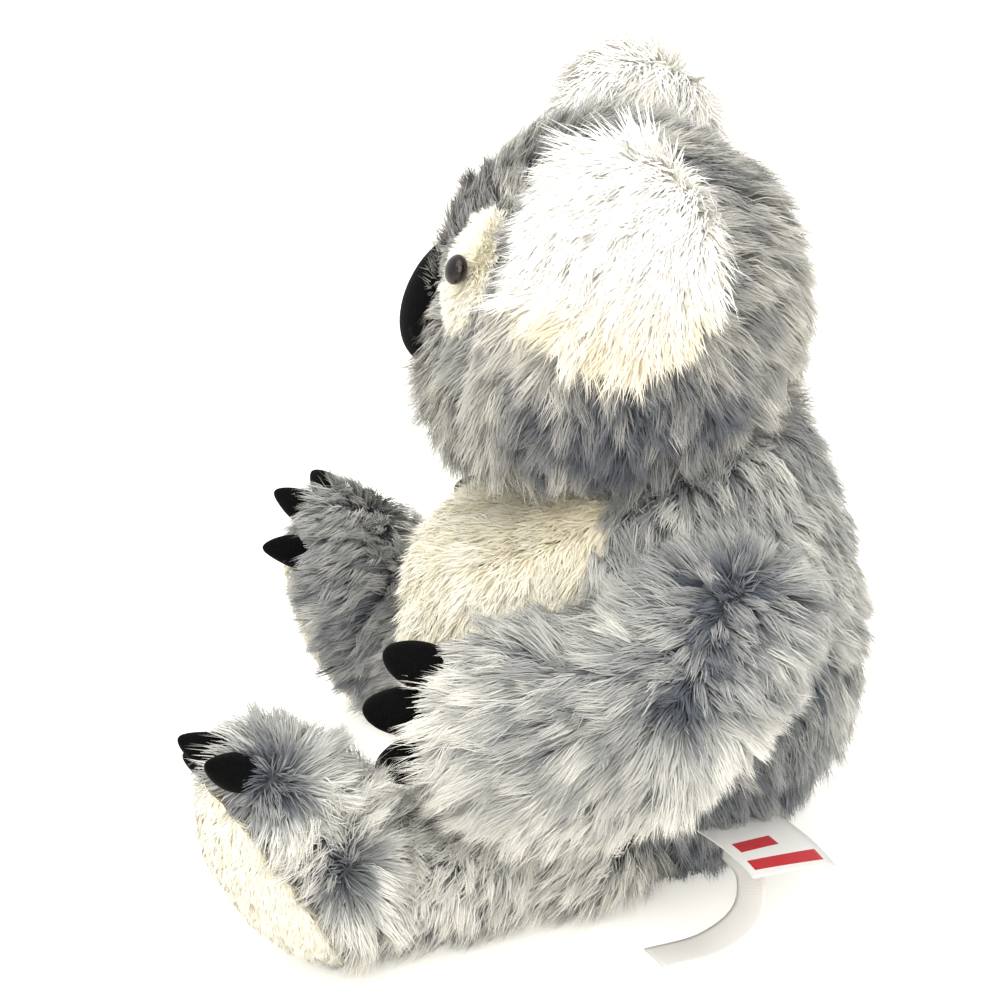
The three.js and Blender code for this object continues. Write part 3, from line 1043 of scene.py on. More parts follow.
class TorsoCoat(Coat):
    """The grey fur of the back and the sides."""

    def comb(self, points: Array, normals: Array) -> Array:
        """Down the back and a little to the rear."""
        back, down = np.full(len(points), 0.25), np.full(len(points), -1.0)
        return np.stack([points[:, 0] * 4, back, down], 1)

    def thin(self, points: Array, normals: Array) -> Array:
        """None on the belly."""
        return (belly_edge(points) > -4 * MM).astype(float)

    def shade(self, points: Array, normals: Array) -> Array:
        """Paler towards the rear and the seat, and darker low on the flanks, which is painted
        shadow of the arm.

        Args:
            points: Places on the skin.
            normals: The skin's normals there.

        Returns:
            How pale each place is, from 0 to 1.
        """
        behind = eased(44 * MM, 60 * MM, points[:, 1])
        # painted shadow: low on the sides, in front of the rear, where the arm shades the body
        arm_shadow = eased(85 * MM, 65 * MM, points[:, 2]) * (1 - behind)
        high = eased(98 * MM, 108 * MM, points[:, 2])
        patches = 0.14 * waves(points, 16 * MM, 5)
        return 0.48 + 0.14 * behind + 0.06 * high - 0.34 * arm_shadow + patches


class BellyCoat(Coat):
    """The shorter cream fur of the belly."""

    finish = CREAM
    slot = "cream_plush"

    def comb(self, points: Array, normals: Array) -> Array:
        """Down and a little inwards."""
        front, down = np.full(len(points), -0.1), np.full(len(points), -1.0)
        return np.stack([points[:, 0] * -3, front, down], 1)

    def thin(self, points: Array, normals: Array) -> Array:
        """Only in front of the side seams."""
        return (belly_edge(points) < -3 * MM).astype(float)

    def shade(self, points: Array, normals: Array) -> Array:
        """Even, with painted shade under the chin."""
        # painted shade: the belly's top darkens where the head shades it
        chin = eased(92 * MM, 112 * MM, points[:, 2])
        return 0.75 - 0.45 * chin + 0.12 * waves(points, 30 * MM, 6)


class HeadCoat(Coat):
    """The grey fur of the head, which runs away from the ears and from the nose."""

    finish = WARM_GREY
    ear = np.array([55.0, 0.0, 187.0]) * MM
    nose = np.array([0.0, -58.0, 158.0]) * MM
    nose_reach = np.array([12.5, 12.5, 17.5]) * MM

    def comb(self, points: Array, normals: Array) -> Array:
        """Away from the nearer ear on the sides, and away from the nose in front.

        Args:
            points: Places on the skin.
            normals: The skin's normals there.

        Returns:
            The brushed way at each place.
        """
        ears = self.ear * np.stack([np.sign(points[:, 0]), *np.ones((2, len(points)))], 1)
        sideways = eased(16 * MM, 38 * MM, np.abs(points[:, 0]))[:, None]
        way = unit(points - ears) * sideways + unit(points - self.nose) * (1 - sideways)
        for side in Side:
            round_eye = eased(2.3, 1.2, Face.patch_reach(points, side))[:, None]
            way += unit(points - np.array(Face.eye_seat(side)[0])) * 3.5 * round_eye
        return way + np.array([0.0, 0.05, -0.4])

    def thin(self, points: Array, normals: Array) -> Array:
        """None under the nose or in the eye patches.

        Args:
            points: Places on the skin.
            normals: The skin's normals there.

        Returns:
            How dense the fur is at each place, from 0 to 1.
        """
        bare = np.linalg.norm((points - self.nose) / self.nose_reach, axis=1) <= 1.0
        for side in Side:
            bare |= Face.patch_reach(points, side) < 1.0
        return (~bare).astype(float)

    def trim(self, points: Array, normals: Array) -> Array:
        """Short round the nose and the eyes, long on the cheeks.

        Args:
            points: Places on the skin.
            normals: The skin's normals there.

        Returns:
            The length at each place, as a share of the layer's.
        """
        from_nose = np.linalg.norm(points - self.nose, axis=1)
        long = 0.62 + 0.43 * eased(13 * MM, 42 * MM, from_nose) + 0.3 * self.muzzle(points)
        for side in Side:
            long *= 1 - 0.6 * eased(1.9, 1.0, Face.patch_reach(points, side))
        return long

    def shade(self, points: Array, normals: Array) -> Array:
        """Darker under the ears, partly the fur's own tone and partly painted shade of the ears;
        paler behind and on the muzzle.

        Args:
            points: Places on the skin.
            normals: The skin's normals there.

        Returns:
            How pale each place is, from 0 to 1.
        """
        front, height = points[:, 1], points[:, 2]
        aside = eased(25 * MM, 45 * MM, np.abs(points[:, 0]))
        # under the ears: partly the fur's own darker tone, partly painted shade cast by the ears
        under = aside * eased(165 * MM, 145 * MM, height)
        under *= eased(-34 * MM, -14 * MM, front) * eased(44 * MM, 28 * MM, front)
        sweep = aside * eased(148 * MM, 157 * MM, height) * eased(178 * MM, 168 * MM, height)
        sweep *= eased(-4 * MM, -16 * MM, front)
        behind = eased(20 * MM, 40 * MM, front)
        pale = 0.4 - 0.36 * under + 0.16 * behind + 0.16 * waves(points, 15 * MM, 8)
        return pale + np.maximum(0.12 * self.muzzle(points), 0.3 * sweep)

    def muzzle(self, points: Array) -> Array:
        """How much places belong to the muzzle and the chin, from 0 to 1."""
        return eased(-24 * MM, -42 * MM, points[:, 1]) * eased(166 * MM, 148 * MM, points[:, 2])

    def flat(self, points: Array) -> Array:
        """Fluffed up on the muzzle."""
        return 1 - 0.3 * self.muzzle(points)


class EarCoat(Coat):
    """The long white fur of an ear, which fans out from its middle."""

    finish = WHITE
    slot = "white_plush"

    def __init__(self, side: Side, seed: int, piles: dict[str, Pile]) -> None:
        """Keeps the ear's middle."""
        super().__init__(f"{side.label}_ear", "head", seed, piles)
        self.middle = np.array(side.of((52, 1, 189)))

    def comb(self, points: Array, normals: Array) -> Array:
        """Down and forwards in the ear's middle, and outwards round its rim.

        Args:
            points: Places on the skin.
            normals: The skin's normals there.

        Returns:
            The brushed way at each place.
        """
        fan = self.rim(points)[:, None]
        outward = unit(points - self.middle) * np.array([0.3, 1.0, 1.0])
        return outward * fan + np.array([0.0, -0.6, -0.8]) * (1 - 0.9 * fan)

    def rim(self, points: Array) -> Array:
        """How near the ear's rim places are, from 0 in its middle to 1."""
        from_middle = np.linalg.norm((points - self.middle)[:, 1:], axis=1)
        return eased(16 * MM, 25 * MM, from_middle)

    def flat(self, points: Array) -> Array:
        """A little more upright where it turns."""
        return 0.6 + 0.4 * eased(0.1, 0.8, np.linalg.norm(self.comb(points, points), axis=1))

    def trim(self, points: Array, normals: Array) -> Array:
        """Longest at the rim.

        Args:
            points: Places on the skin.
            normals: The skin's normals there.

        Returns:
            The length at each place, as a share of the layer's.
        """
        rim = self.rim(points)
        wisps = eased(-4 * MM, -18 * MM, points[:, 1]) * eased(192 * MM, 176 * MM, points[:, 2])
        ragged = 0.18 * waves(points, 7 * MM, 14) * rim
        front = eased(-8 * MM, -20 * MM, points[:, 1]) * (1 - wisps)
        high = eased(200 * MM, 210 * MM, points[:, 2])
        return 0.85 + 0.1 * rim + 0.2 * high - 0.25 * front + 0.3 * wisps + ragged

    def shade(self, points: Array, normals: Array) -> Array:
        """White, and cream at the bottom."""
        low = eased(192 * MM, 166 * MM, points[:, 2])
        return 0.95 - 0.75 * low + 0.1 * waves(points, 14 * MM, 9)


class ArmCoat(Coat):
    """The long fur of an arm, which parts along a line below the shoulder."""

    parting_line = ((66, 34, 110), (68, 29.5, 104), (76, 23, 90), (78, 18, 78))

    def __init__(self, side: Side, seed: int, piles: dict[str, Pile]) -> None:
        """Keeps the line along which the fur parts, and the claws that it leaves free.

        Args:
            side: Which arm it is.
            seed: Where its chance starts.
            piles: Its layers, by name.
        """
        super().__init__(f"{side.label}_arm", f"{side.label}_arm", seed, piles)
        self.parting = np.array([side.of(place) for place in self.parting_line])
        self.claws = [f"{side.label}_hand_claw_{number}" for number in CLAW_NUMBERS]

    def comb(self, points: Array, normals: Array) -> Array:
        """Away from the parting, on towards the paw and down.

        Args:
            points: Places on the skin.
            normals: The skin's normals there.

        Returns:
            The brushed way at each place.
        """
        way, _ = from_line(points, self.parting)
        paw = eased(-4 * MM, 20 * MM, self.parting[-1, 1] - points[:, 1])[:, None]
        onward = np.array([0.0, -0.9, 0.1]) * paw
        return unit(way) + onward + np.array([0.0, 0.0, -0.35])

    def thin(self, points: Array, normals: Array) -> Array:
        """None where the claws stand."""
        return clear_of(points, self.claws)

    def trim(self, points: Array, normals: Array) -> Array:
        """Short right at the parting and at the rear, long at the paw.

        Args:
            points: Places on the skin.
            normals: The skin's normals there.

        Returns:
            The length at each place, as a share of the layer's.
        """
        _, far = from_line(points, self.parting)
        front = eased(-38 * MM, -48 * MM, points[:, 1]) * eased(56 * MM, 66 * MM, points[:, 2])
        rear = eased(30 * MM, 44 * MM, points[:, 1] - 0.6 * (points[:, 2] - 78 * MM))
        return 0.55 + 0.5 * eased(2 * MM, 12 * MM, far) + 0.25 * front - 0.45 * rear

    def shade(self, points: Array, normals: Array) -> Array:
        """Dark at the parting, pale at the paw and along the lower edge.

        Args:
            points: Places on the skin.
            normals: The skin's normals there.

        Returns:
            How pale each place is, from 0 to 1.
        """
        _, far = from_line(points, self.parting)
        low = eased(66 * MM, 42 * MM, points[:, 2] - 0.6 * np.maximum(points[:, 1], 0.0))
        paw = eased(-12 * MM, -42 * MM, points[:, 1])
        high = eased(84 * MM, 104 * MM, points[:, 2])
        pale = 0.47 + np.maximum(0.46 * low, 0.45 * paw) - 0.06 * high
        return pale + 0.12 * waves(points, 15 * MM, 10) - 0.4 * eased(11 * MM, 2 * MM, far)


class LegCoat(Coat):
    """The fur of a leg and its foot, which parts at the ankle and on the foot."""

    parting_spots = ((91, -83, 61), (96, -63, 36))
    longest = {Side.LEFT: 1.0, Side.RIGHT: 0.82}

    def __init__(self, side: Side, seed: int, piles: dict[str, Pile]) -> None:
        """Keeps the places where the fur parts, and the claws that it leaves free.

        Args:
            side: Which leg it is.
            seed: Where its chance starts.
            piles: Its layers, by name.
        """
        super().__init__(f"{side.label}_leg", f"{side.label}_leg", seed, piles)
        self.side = side
        self.along = np.array([LEG_AHEAD[0] * side.sign, LEG_AHEAD[1], 0.0])
        self.partings = [np.array(side.of(place)) for place in self.parting_spots]
        self.claws = [f"{side.label}_foot_claw_{number}" for number in CLAW_NUMBERS]

    def comb(self, points: Array, normals: Array) -> Array:
        """Away from the partings, and along the leg towards the toes.

        Args:
            points: Places on the skin.
            normals: The skin's normals there.

        Returns:
            The brushed way at each place.
        """
        way = np.tile(self.along * 0.6 + np.array([0.0, 0.0, -0.35]), (len(points), 1))
        for parting in self.partings:
            reach = points - parting
            near = eased(30 * MM, 6 * MM, np.linalg.norm(reach, axis=1))
            way += unit(reach) * (2.2 * near)[:, None]
        return way

    def thin(self, points: Array, normals: Array) -> Array:
        """None where the claws stand."""
        return clear_of(points, self.claws)

    def from_partings(self, points: Array) -> Array:
        """How far places lie from the nearer parting."""
        reaches = [np.linalg.norm(points - parting, axis=1) for parting in self.partings]
        return np.min(reaches, axis=0)

    def trim(self, points: Array, normals: Array) -> Array:
        """Short right at the partings."""
        near = 0.5 + 0.5 * eased(1 * MM, 9 * MM, self.from_partings(points))
        return self.longest[self.side] * near

    def shade(self, points: Array, normals: Array) -> Array:
        """Pale on the outside and darker inside, painted shade by which way the skin faces;
        darker at the partings.
        """
        # painted shade: paler where the skin faces outwards, darker where it faces inwards
        pale = 0.64 + 0.34 * normals[:, 0] * self.side.sign + 0.1 * waves(points, 16 * MM, 11)
        return pale - 0.85 * eased(11.5 * MM, 3 * MM, self.from_partings(points))


class SoleCoat(Coat):
    """The short cream pile of a sole."""

    finish = CREAM
    slot = "short_pile"

    def __init__(self, side: Side, seed: int, piles: dict[str, Pile]) -> None:
        """Keeps the sole's middle."""
        super().__init__(f"{side.label}_sole", f"{side.label}_leg", seed, piles)
        self.middle = np.array(side.of((82, -88, 30)))

    def comb(self, points: Array, normals: Array) -> Array:
        """Down, and a little away from the sole's middle."""
        return unit(points - self.middle) * 0.2 + DOWN

    def shade(self, points: Array, normals: Array) -> Array:
        """Even, with faint patches."""
        return 0.9 + 0.1 * waves(points, 18 * MM, 12)


class PatchCoat(Coat):
    """The short cream nap round an eye."""

    finish = CREAM
    slot = "short_pile"
    seeds = {Side.LEFT: 300, Side.RIGHT: 310}

    def __init__(self, side: Side, piles: dict[str, Pile]) -> None:
        """Keeps the eye's place and the way that it looks."""
        super().__init__(f"{side.label}_eye_patch_pile", "head", self.seeds[side], piles)
        self.spot, self.out = (np.array(value) for value in Face.eye_seat(side))

    def comb(self, points: Array, normals: Array) -> Array:
        """Away from the eye and down."""
        return unit(points - self.spot) * 0.8 + np.array([0.0, 0.0, -0.6])

    def thin(self, points: Array, normals: Array) -> Array:
        """Only on the patch's front, and not under the eye."""
        far = np.linalg.norm(points - self.spot, axis=1)
        return ((normals @ self.out > 0.3) & (far > 3.7 * MM)).astype(float)

    def shade(self, points: Array, normals: Array) -> Array:
        """Deeper near the eye and paler outwards."""
        far = np.linalg.norm(points - self.spot, axis=1)
        return 0.6 + 0.35 * eased(5 * MM, 8 * MM, far)


# ---- the layers of fur on each part

UNDERFUR = Pile(density=0.9, length=8 * MM, width=0.8 * MM, lean=25, droop=60, pale=-0.12)
GREY_PILES = {
    "underfur": UNDERFUR,
    "fur": Pile(
        density=3.0,
        length=12 * MM,
        width=0.45 * MM,
        lean=30,
        droop=74,
        lock=3.4 * MM,
        gather=0.55,
        frizz=0.07,
    ),
}
BELLY_PILES = {
    "underfur": Pile(
        density=1.5, length=6 * MM, width=0.9 * MM, lean=45, droop=72, gather=0.2, glint=0.05
    ),
    "fur": Pile(
        density=3.2,
        length=8 * MM,
        width=0.55 * MM,
        lean=45,
        droop=74,
        gather=0.2,
        frizz=0.09,
        glint=0.05,
    ),
}
EAR_PILES = {
    "underfur": Pile(
        density=1.8,
        length=9 * MM,
        width=1.2 * MM,
        lean=20,
        droop=60,
        gather=0.2,
        glint=0.05,
        roll=0.35,
    ),
    "fur": Pile(
        density=4.2,
        length=13 * MM,
        width=0.6 * MM,
        lean=30,
        droop=74,
        frizz=0.08,
        gather=0.3,
        glint=0.08,
        roll=0.35,
    ),
}
ARM_PILES = {
    "underfur": UNDERFUR,
    "fur": Pile(
        density=3.5,
        length=13 * MM,
        width=0.42 * MM,
        lean=32,
        droop=72,
        lock=2.8 * MM,
        gather=0.5,
    ),
}
LEG_PILES = {
    "underfur": replace(UNDERFUR, length=7 * MM),
    "fur": Pile(density=3.2, length=12 * MM, width=0.42 * MM, lean=28, droop=68, gather=0.5),
}
SOLE_PILES = {
    "nap": Pile(
        density=5.6,
        length=3.6 * MM,
        width=0.55 * MM,
        lean=60,
        droop=82,
        lock=1.8 * MM,
        gather=0.2,
        glint=0.05,
    )
}
PATCH_PILES = {
    "nap": Pile(
        density=8.0,
        length=3 * MM,
        width=0.4 * MM,
        lean=35,
        droop=68,
        lock=1.6 * MM,
        gather=0.2,
        glint=0.1,
    )
}


# ---- sub-assemblies


@dataclass
class Torso:
    """The body: its skin, its grey back and its cream belly."""

    nodes: tuple[str, ...] = ("back_panel", "belly_panel", "torso_stuffing", "pellet_bag")
    back_seed: int = 100
    belly_seed: int = 120

    def __post_init__(self) -> None:
        """Names the body's skin."""
        self.skin = Skin("torso_skin", "torso", self.nodes, "grey_plush")

    def dress(self, skins: dict[str, Surface]) -> None:
        """Gives the body its cloth and its fur.

        Args:
            skins: The surfaces of all skins, by name.
        """
        self.skin.dress(GREY_CLOTH)
        own = skins[self.skin.name]
        others = [surface for surface in skins.values() if surface is not own]
        TorsoCoat("torso_back", "torso", self.back_seed, GREY_PILES).grow(own, others)
        BellyCoat("torso_belly", "torso", self.belly_seed, BELLY_PILES).grow(own, others)


@dataclass
class Face:
    """The nose, the eyes, the pale patches round them and the washers behind them."""

    nose_middle: Point = (0.0, -48.2, 156.0)
    nose_size: Point = (12.0, 10.2, 17.5)
    nose_tilt: float = 14.0
    nose_taper: float = -0.3
    eye_radius: float = 3.9 * MM
    eye_dome: float = 2.4 * MM
    eye_sunk: float = 2.0 * MM
    patch_shift: float = 2.5 * MM
    patch_half: tuple[float, float] = (9.5 * MM, 14.5 * MM)
    patch_depth: float = 14 * MM
    patch_hem: float = 1.15
    patch_lift: float = 1.2 * MM
    patch_thickness: float = 1.0 * MM

    @staticmethod
    def eye_seat(side: Side) -> tuple[Vector, Vector]:
        """Where an eye's dome sits, and the way that it looks.

        Args:
            side: Which eye it is.

        Returns:
            The place and the way.
        """
        washer, eye = (
            coordinates(bpy.data.objects[f"{side.label}_{part}"].data)
            for part in ("eye_washer", "eye")
        )
        back = washer.mean(0)
        out = unit(eye.mean(0) - back)
        front = ((eye - back) @ out).max()
        return Vector(back + out * (front - Face.eye_dome - Face.eye_sunk)), Vector(out)

    @staticmethod
    def patch_reach(points: Array, side: Side) -> Array:
        """How far places lie from the middle of an eye patch.

        Args:
            points: The places.
            side: Which eye it is.

        Returns:
            For each place 0 in the patch's middle, 1 at its edge and more outside.
        """
        spot, out = Face.eye_seat(side)
        across = UP.cross(out).normalized()
        up = out.cross(across)
        reach = points - np.array(spot)
        wide = (reach @ np.array(across) + side.sign * Face.patch_shift) / Face.patch_half[0]
        high = (reach @ np.array(up)) / Face.patch_half[1]
        near = (reach @ np.array(out)) > -Face.patch_depth
        return np.where(near, np.hypot(wide, high), 9.0)

    def add_nose(self) -> None:
        """Adds the stuffed suede nose, wide in its upper half."""
        bpy.ops.mesh.primitive_uv_sphere_add(segments=48, ring_count=32, radius=1.0)
        nose = bpy.context.object
        taper = {"deform_method": "TAPER", "deform_axis": "Z", "factor": self.nose_taper}
        finish_with(nose, "SIMPLE_DEFORM", **taper)
        tilt = Matrix.Rotation(math.radians(-self.nose_tilt), 4, "X")
        size = Matrix.Diagonal((*(Vector(self.nose_size) * MM), 1))
        seat(nose, Matrix.Translation(Vector(self.nose_middle) * MM) @ tilt @ size)
        bpy.ops.object.shade_smooth()
        dressed(nose, "nose_pad", BLACK_SUEDE.material(), "head", "nose_suede", "nose")

    def eye_model(self) -> bpy.types.Mesh:
        """Models an eye once, a polished dome that looks along Z.

        Returns:
            The eye's mesh.
        """
        bpy.ops.mesh.primitive_uv_sphere_add(segments=40, ring_count=24, radius=1.0)
        eye = bpy.context.object
        seat(eye, Matrix.Diagonal((self.eye_radius, self.eye_radius, self.eye_dome, 1)))
        bpy.ops.object.shade_smooth()
        return taken(eye)

    def add_eye(self, side: Side, model: bpy.types.Mesh) -> None:
        """Adds one eye, a copy of the model.

        Args:
            side: Which eye it is.
            model: The eye's mesh.
        """
        spot, out = self.eye_seat(side)
        eye = linked(model.copy())
        seat(eye, placed(spot, out, UP))
        material = DARK_EYE.material(spot + out * self.eye_dome)
        name = f"{side.label}_eye"
        dressed(eye, f"{name}_dome", material, "head", "eye_plastic", name)

    def add_patch(self, side: Side, head: Surface) -> None:
        """Adds the short-piled patch round one eye, laid on the head's skin.

        Args:
            side: Which eye it is.
            head: The head's skin.
        """
        keep = self.patch_reach(head.centres, side) < self.patch_hem
        used, corners = np.unique(head.corners[keep], return_inverse=True)
        points = head.points[used] + head.normals[used] * self.patch_lift
        mesh = bpy.data.meshes.new("patch")
        mesh.from_pydata(points.tolist(), [], corners.reshape(-1, 3).tolist())
        patch = linked(mesh)
        finish_with(patch, "SOLIDIFY", thickness=self.patch_thickness, offset=-1.0)
        name = f"{side.label}_eye_patch"
        dressed(patch, f"{name}_cloth", CREAM_CLOTH.material(), "head", "short_pile", name)
        PatchCoat(side, PATCH_PILES).grow(Surface(patch), [])

    def dress(self, head: Surface) -> None:
        """Adds all of the face.

        Args:
            head: The head's skin.
        """
        self.add_nose()
        eye = self.eye_model()
        for side in Side:
            self.add_patch(side, head)
            self.add_eye(side, eye)
            washer = bpy.data.objects[f"{side.label}_eye_washer"]
            washer.data.materials.clear()
            washer.data.materials.append(WHITE_PLASTIC.material())


@dataclass
class Head:
    """The head, its ears and its face."""

    nodes: tuple[str, ...] = ("head_back_panel", "face_panel", "chin_panel", "head_stuffing")
    seed: int = 200
    ear_seeds: tuple[int, int] = (240, 250)
    face: Face = field(default_factory=Face)

    def __post_init__(self) -> None:
        """Names the skins of the head and of the ears."""
        self.skin = Skin("head_skin", "head", self.nodes, "grey_plush")
        self.ears = [self.ear_skin(side) for side in Side]

    @staticmethod
    def ear_skin(side: Side) -> Skin:
        """The skin of one ear, thinner and finer than the others.

        Args:
            side: Which ear it is.

        Returns:
            The skin.
        """
        nodes = (f"{side.label}_ear_face", f"{side.label}_ear_back")
        sizes = {"voxel": 2.5 * MM, "inset": 3.0 * MM, "swell": 1.0 * MM}
        return Skin(f"{side.label}_ear_skin", "head", nodes, "white_plush", **sizes)

    def dress(self, skins: dict[str, Surface]) -> None:
        """Gives the head its cloth, its fur and its face.

        Args:
            skins: The surfaces of all skins, by name.
        """
        self.skin.dress(GREY_CLOTH)
        head = skins[self.skin.name]
        others = [surface for surface in skins.values() if surface is not head]
        HeadCoat("head", "head", self.seed, GREY_PILES).grow(head, others)
        for side, skin, seed in zip(Side, self.ears, self.ear_seeds):
            skin.dress(WHITE_CLOTH)
            EarCoat(side, seed, EAR_PILES).grow(skins[skin.name], [head])
        self.face.dress(head)


@dataclass(frozen=True)
class Claw:
    """A stuffed suede horn that bends down towards its tip."""

    length: float = 19.0 * MM
    radius: float = 6.2 * MM
    taper: float = -0.3
    bend: float = 18.0
    set_back: float = 1.5 * MM

    @cache
    def model(self) -> bpy.types.Mesh:
        """Models the claw once, along Z.

        Returns:
            The claw's mesh.
        """
        bpy.ops.mesh.primitive_uv_sphere_add(segments=32, ring_count=24, radius=1.0)
        claw = bpy.context.object
        seat(claw, Matrix.Diagonal((self.radius, self.radius, self.length / 2, 1)))
        taper = {"deform_method": "TAPER", "deform_axis": "Z", "factor": self.taper}
        finish_with(claw, "SIMPLE_DEFORM", **taper)
        bend = {"deform_method": "BEND", "deform_axis": "X", "angle": math.radians(self.bend)}
        finish_with(claw, "SIMPLE_DEFORM", **bend)
        bpy.ops.object.shade_smooth()
        return taken(claw)

    def add(self, name: str, body: str, node: str, ahead: Vector, across: Vector) -> None:
        """Adds a copy of the claw where its node is, set back so that its root is buried.

        Args:
            name: The piece's name.
            body: The body that carries it.
            node: The node that it stands for.
            ahead: The way that it points.
            across: The way across the paw.
        """
        low, high = (Vector(corner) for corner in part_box(node))
        middle = (low + high) / 2 - ahead.normalized() * self.set_back
        claw = linked(self.model().copy())
        seat(claw, placed(middle, ahead, across))
        dressed(claw, name, BLACK_SUEDE.material(), body, "claw_cloth", node)


@dataclass
class Arm:
    """One arm with its three claws."""

    side: Side
    claw: Claw = field(default_factory=Claw)
    seeds: dict[Side, int] = field(default_factory=lambda: {Side.LEFT: 400, Side.RIGHT: 420})

    def __post_init__(self) -> None:
        """Names the arm's skin."""
        arm = f"{self.side.label}_arm"
        nodes = tuple(f"{arm}_{part}" for part in ("outer_panel", "inner_panel", "stuffing"))
        self.skin = Skin(f"{arm}_skin", arm, nodes, "grey_plush", voxel=3.5 * MM)

    def dress(self, skins: dict[str, Surface]) -> None:
        """Gives the arm its cloth, its fur and its claws.

        Args:
            skins: The surfaces of all skins, by name.
        """
        self.skin.dress(GREY_CLOTH)
        coat = ArmCoat(self.side, self.seeds[self.side], ARM_PILES)
        coat.grow(skins[self.skin.name], [skins["torso_skin"]])
        label = self.side.label
        across = Vector((self.side.sign, 0, 0))
        for number in CLAW_NUMBERS:
            ahead = Vector((0, -1, (number - 2) / 3))
            name, node = (f"{label}_hand_{kind}_{number}" for kind in ("horn", "claw"))
            self.claw.add(name, f"{label}_arm", node, ahead, across)


@dataclass
class Leg:
    """One leg with its foot, its sole and its three claws. Angles are in degrees."""

    side: Side
    claw: Claw = field(
        default_factory=lambda: Claw(
            length=17.0 * MM, radius=4.8 * MM, taper=-0.7, set_back=3.0 * MM
        )
    )
    claw_tilt: float = 30
    claw_bend: float = 32
    claw_fan: float = 32
    claw_inward: float = 18
    seeds: dict[Side, int] = field(default_factory=lambda: {Side.LEFT: 500, Side.RIGHT: 550})

    def __post_init__(self) -> None:
        """Names the skins of the leg and of the sole."""
        label, leg = self.side.label, f"{self.side.label}_leg"
        nodes = tuple(f"{label}_{part}" for part in ("leg_panel", "foot_panel", "leg_stuffing"))
        sizes = {"voxel": 3.5 * MM, "inset": 3.5 * MM}
        self.skin = Skin(f"{leg}_skin", leg, nodes, "grey_plush", **sizes)
        sizes = {"voxel": 2.0 * MM, "inset": 1.2 * MM, "swell": 0.8 * MM}
        nodes = (f"{label}_foot_sole",)
        self.sole = Skin(f"{label}_sole_skin", leg, nodes, "short_pile", **sizes)

    def dress(self, skins: dict[str, Surface]) -> None:
        """Gives the leg its cloth, its fur, its sole and its claws.

        Args:
            skins: The surfaces of all skins, by name.
        """
        self.skin.dress(GREY_CLOTH)
        self.sole.dress(CREAM_CLOTH)
        leg, sole = skins[self.skin.name], skins[self.sole.name]
        seed = self.seeds[self.side]
        LegCoat(self.side, seed, LEG_PILES).grow(leg, [skins["torso_skin"], sole])
        SoleCoat(self.side, seed + 20, SOLE_PILES).grow(sole, [leg])
        self.add_claws()

    def add_claws(self) -> None:
        """Adds the claws, which fan out over the toes and point inwards a little."""
        label, sign = self.side.label, self.side.sign
        x, y = LEG_AHEAD
        along, across = Vector((x * sign, y, 0)), Vector((-y * sign, x, 0))
        angles = (self.claw_tilt, self.claw_bend, self.claw_fan, self.claw_inward)
        tilt, bend, fan, inward = (math.radians(angle) for angle in angles)
        toes = along * math.sin(tilt) + Vector((0, 0, math.cos(tilt)))
        facing = along * math.cos(tilt) - Vector((0, 0, math.sin(tilt)))
        for number in CLAW_NUMBERS:
            turn = (number - 2) * fan - inward
            fanned = toes * math.cos(turn) + across * math.sin(turn)
            ahead = fanned * math.cos(bend) + facing * math.sin(bend)
            name, node = (f"{label}_foot_{kind}_{number}" for kind in ("horn", "claw"))
            self.claw.add(name, f"{label}_leg", node, ahead, across)


@dataclass(frozen=True)
class Strip:
    """A strip of ribbon along a smooth path, which is given in millimetres."""

    path: tuple[Point, ...]
    across: Point
    width: float
    thickness: float
    rows: int = 48
    columns: int = 8
    cup: float = 0.8 * MM

    def build(self) -> tuple[bpy.types.Object, float]:
        """Lays the strip.

        Returns:
            The strip's object and its length.
        """
        places = smooth_path([Vector(place) * MM for place in self.path], self.rows)
        points, coords, length = [], [], 0.0
        way = Vector(self.across).normalized()
        for i, place in enumerate(places):
            ahead = (places[min(i + 1, self.rows)] - places[max(i - 1, 0)]).normalized()
            flat = (way - ahead * way.dot(ahead)).normalized()
            lift = ahead.cross(flat)
            length += (place - places[i - 1]).length if i else 0.0
            for j in range(self.columns + 1):
                share = j / self.columns - 0.5
                cup = (0.25 - share * share) * self.cup
                points.append(place + flat * share * self.width + lift * cup)
                coords.append((share + 0.5, length))
        turn = self.columns + 1
        starts = (i * turn + j for i in range(self.rows) for j in range(self.columns))
        faces = [(a, a + 1, a + turn + 1, a + turn) for a in starts]
        mesh = bpy.data.meshes.new("strip")
        mesh.from_pydata(points, [], faces)
        layer = mesh.uv_layers.new(name="Strip")
        for loop in mesh.loops:
            share, far = coords[loop.vertex_index]
            layer.data[loop.index].uv = (share, far / length)
        strip = linked(mesh)
        finish_with(strip, "SOLIDIFY", thickness=self.thickness, offset=0.0)
        bpy.ops.object.shade_smooth()
        return strip, length


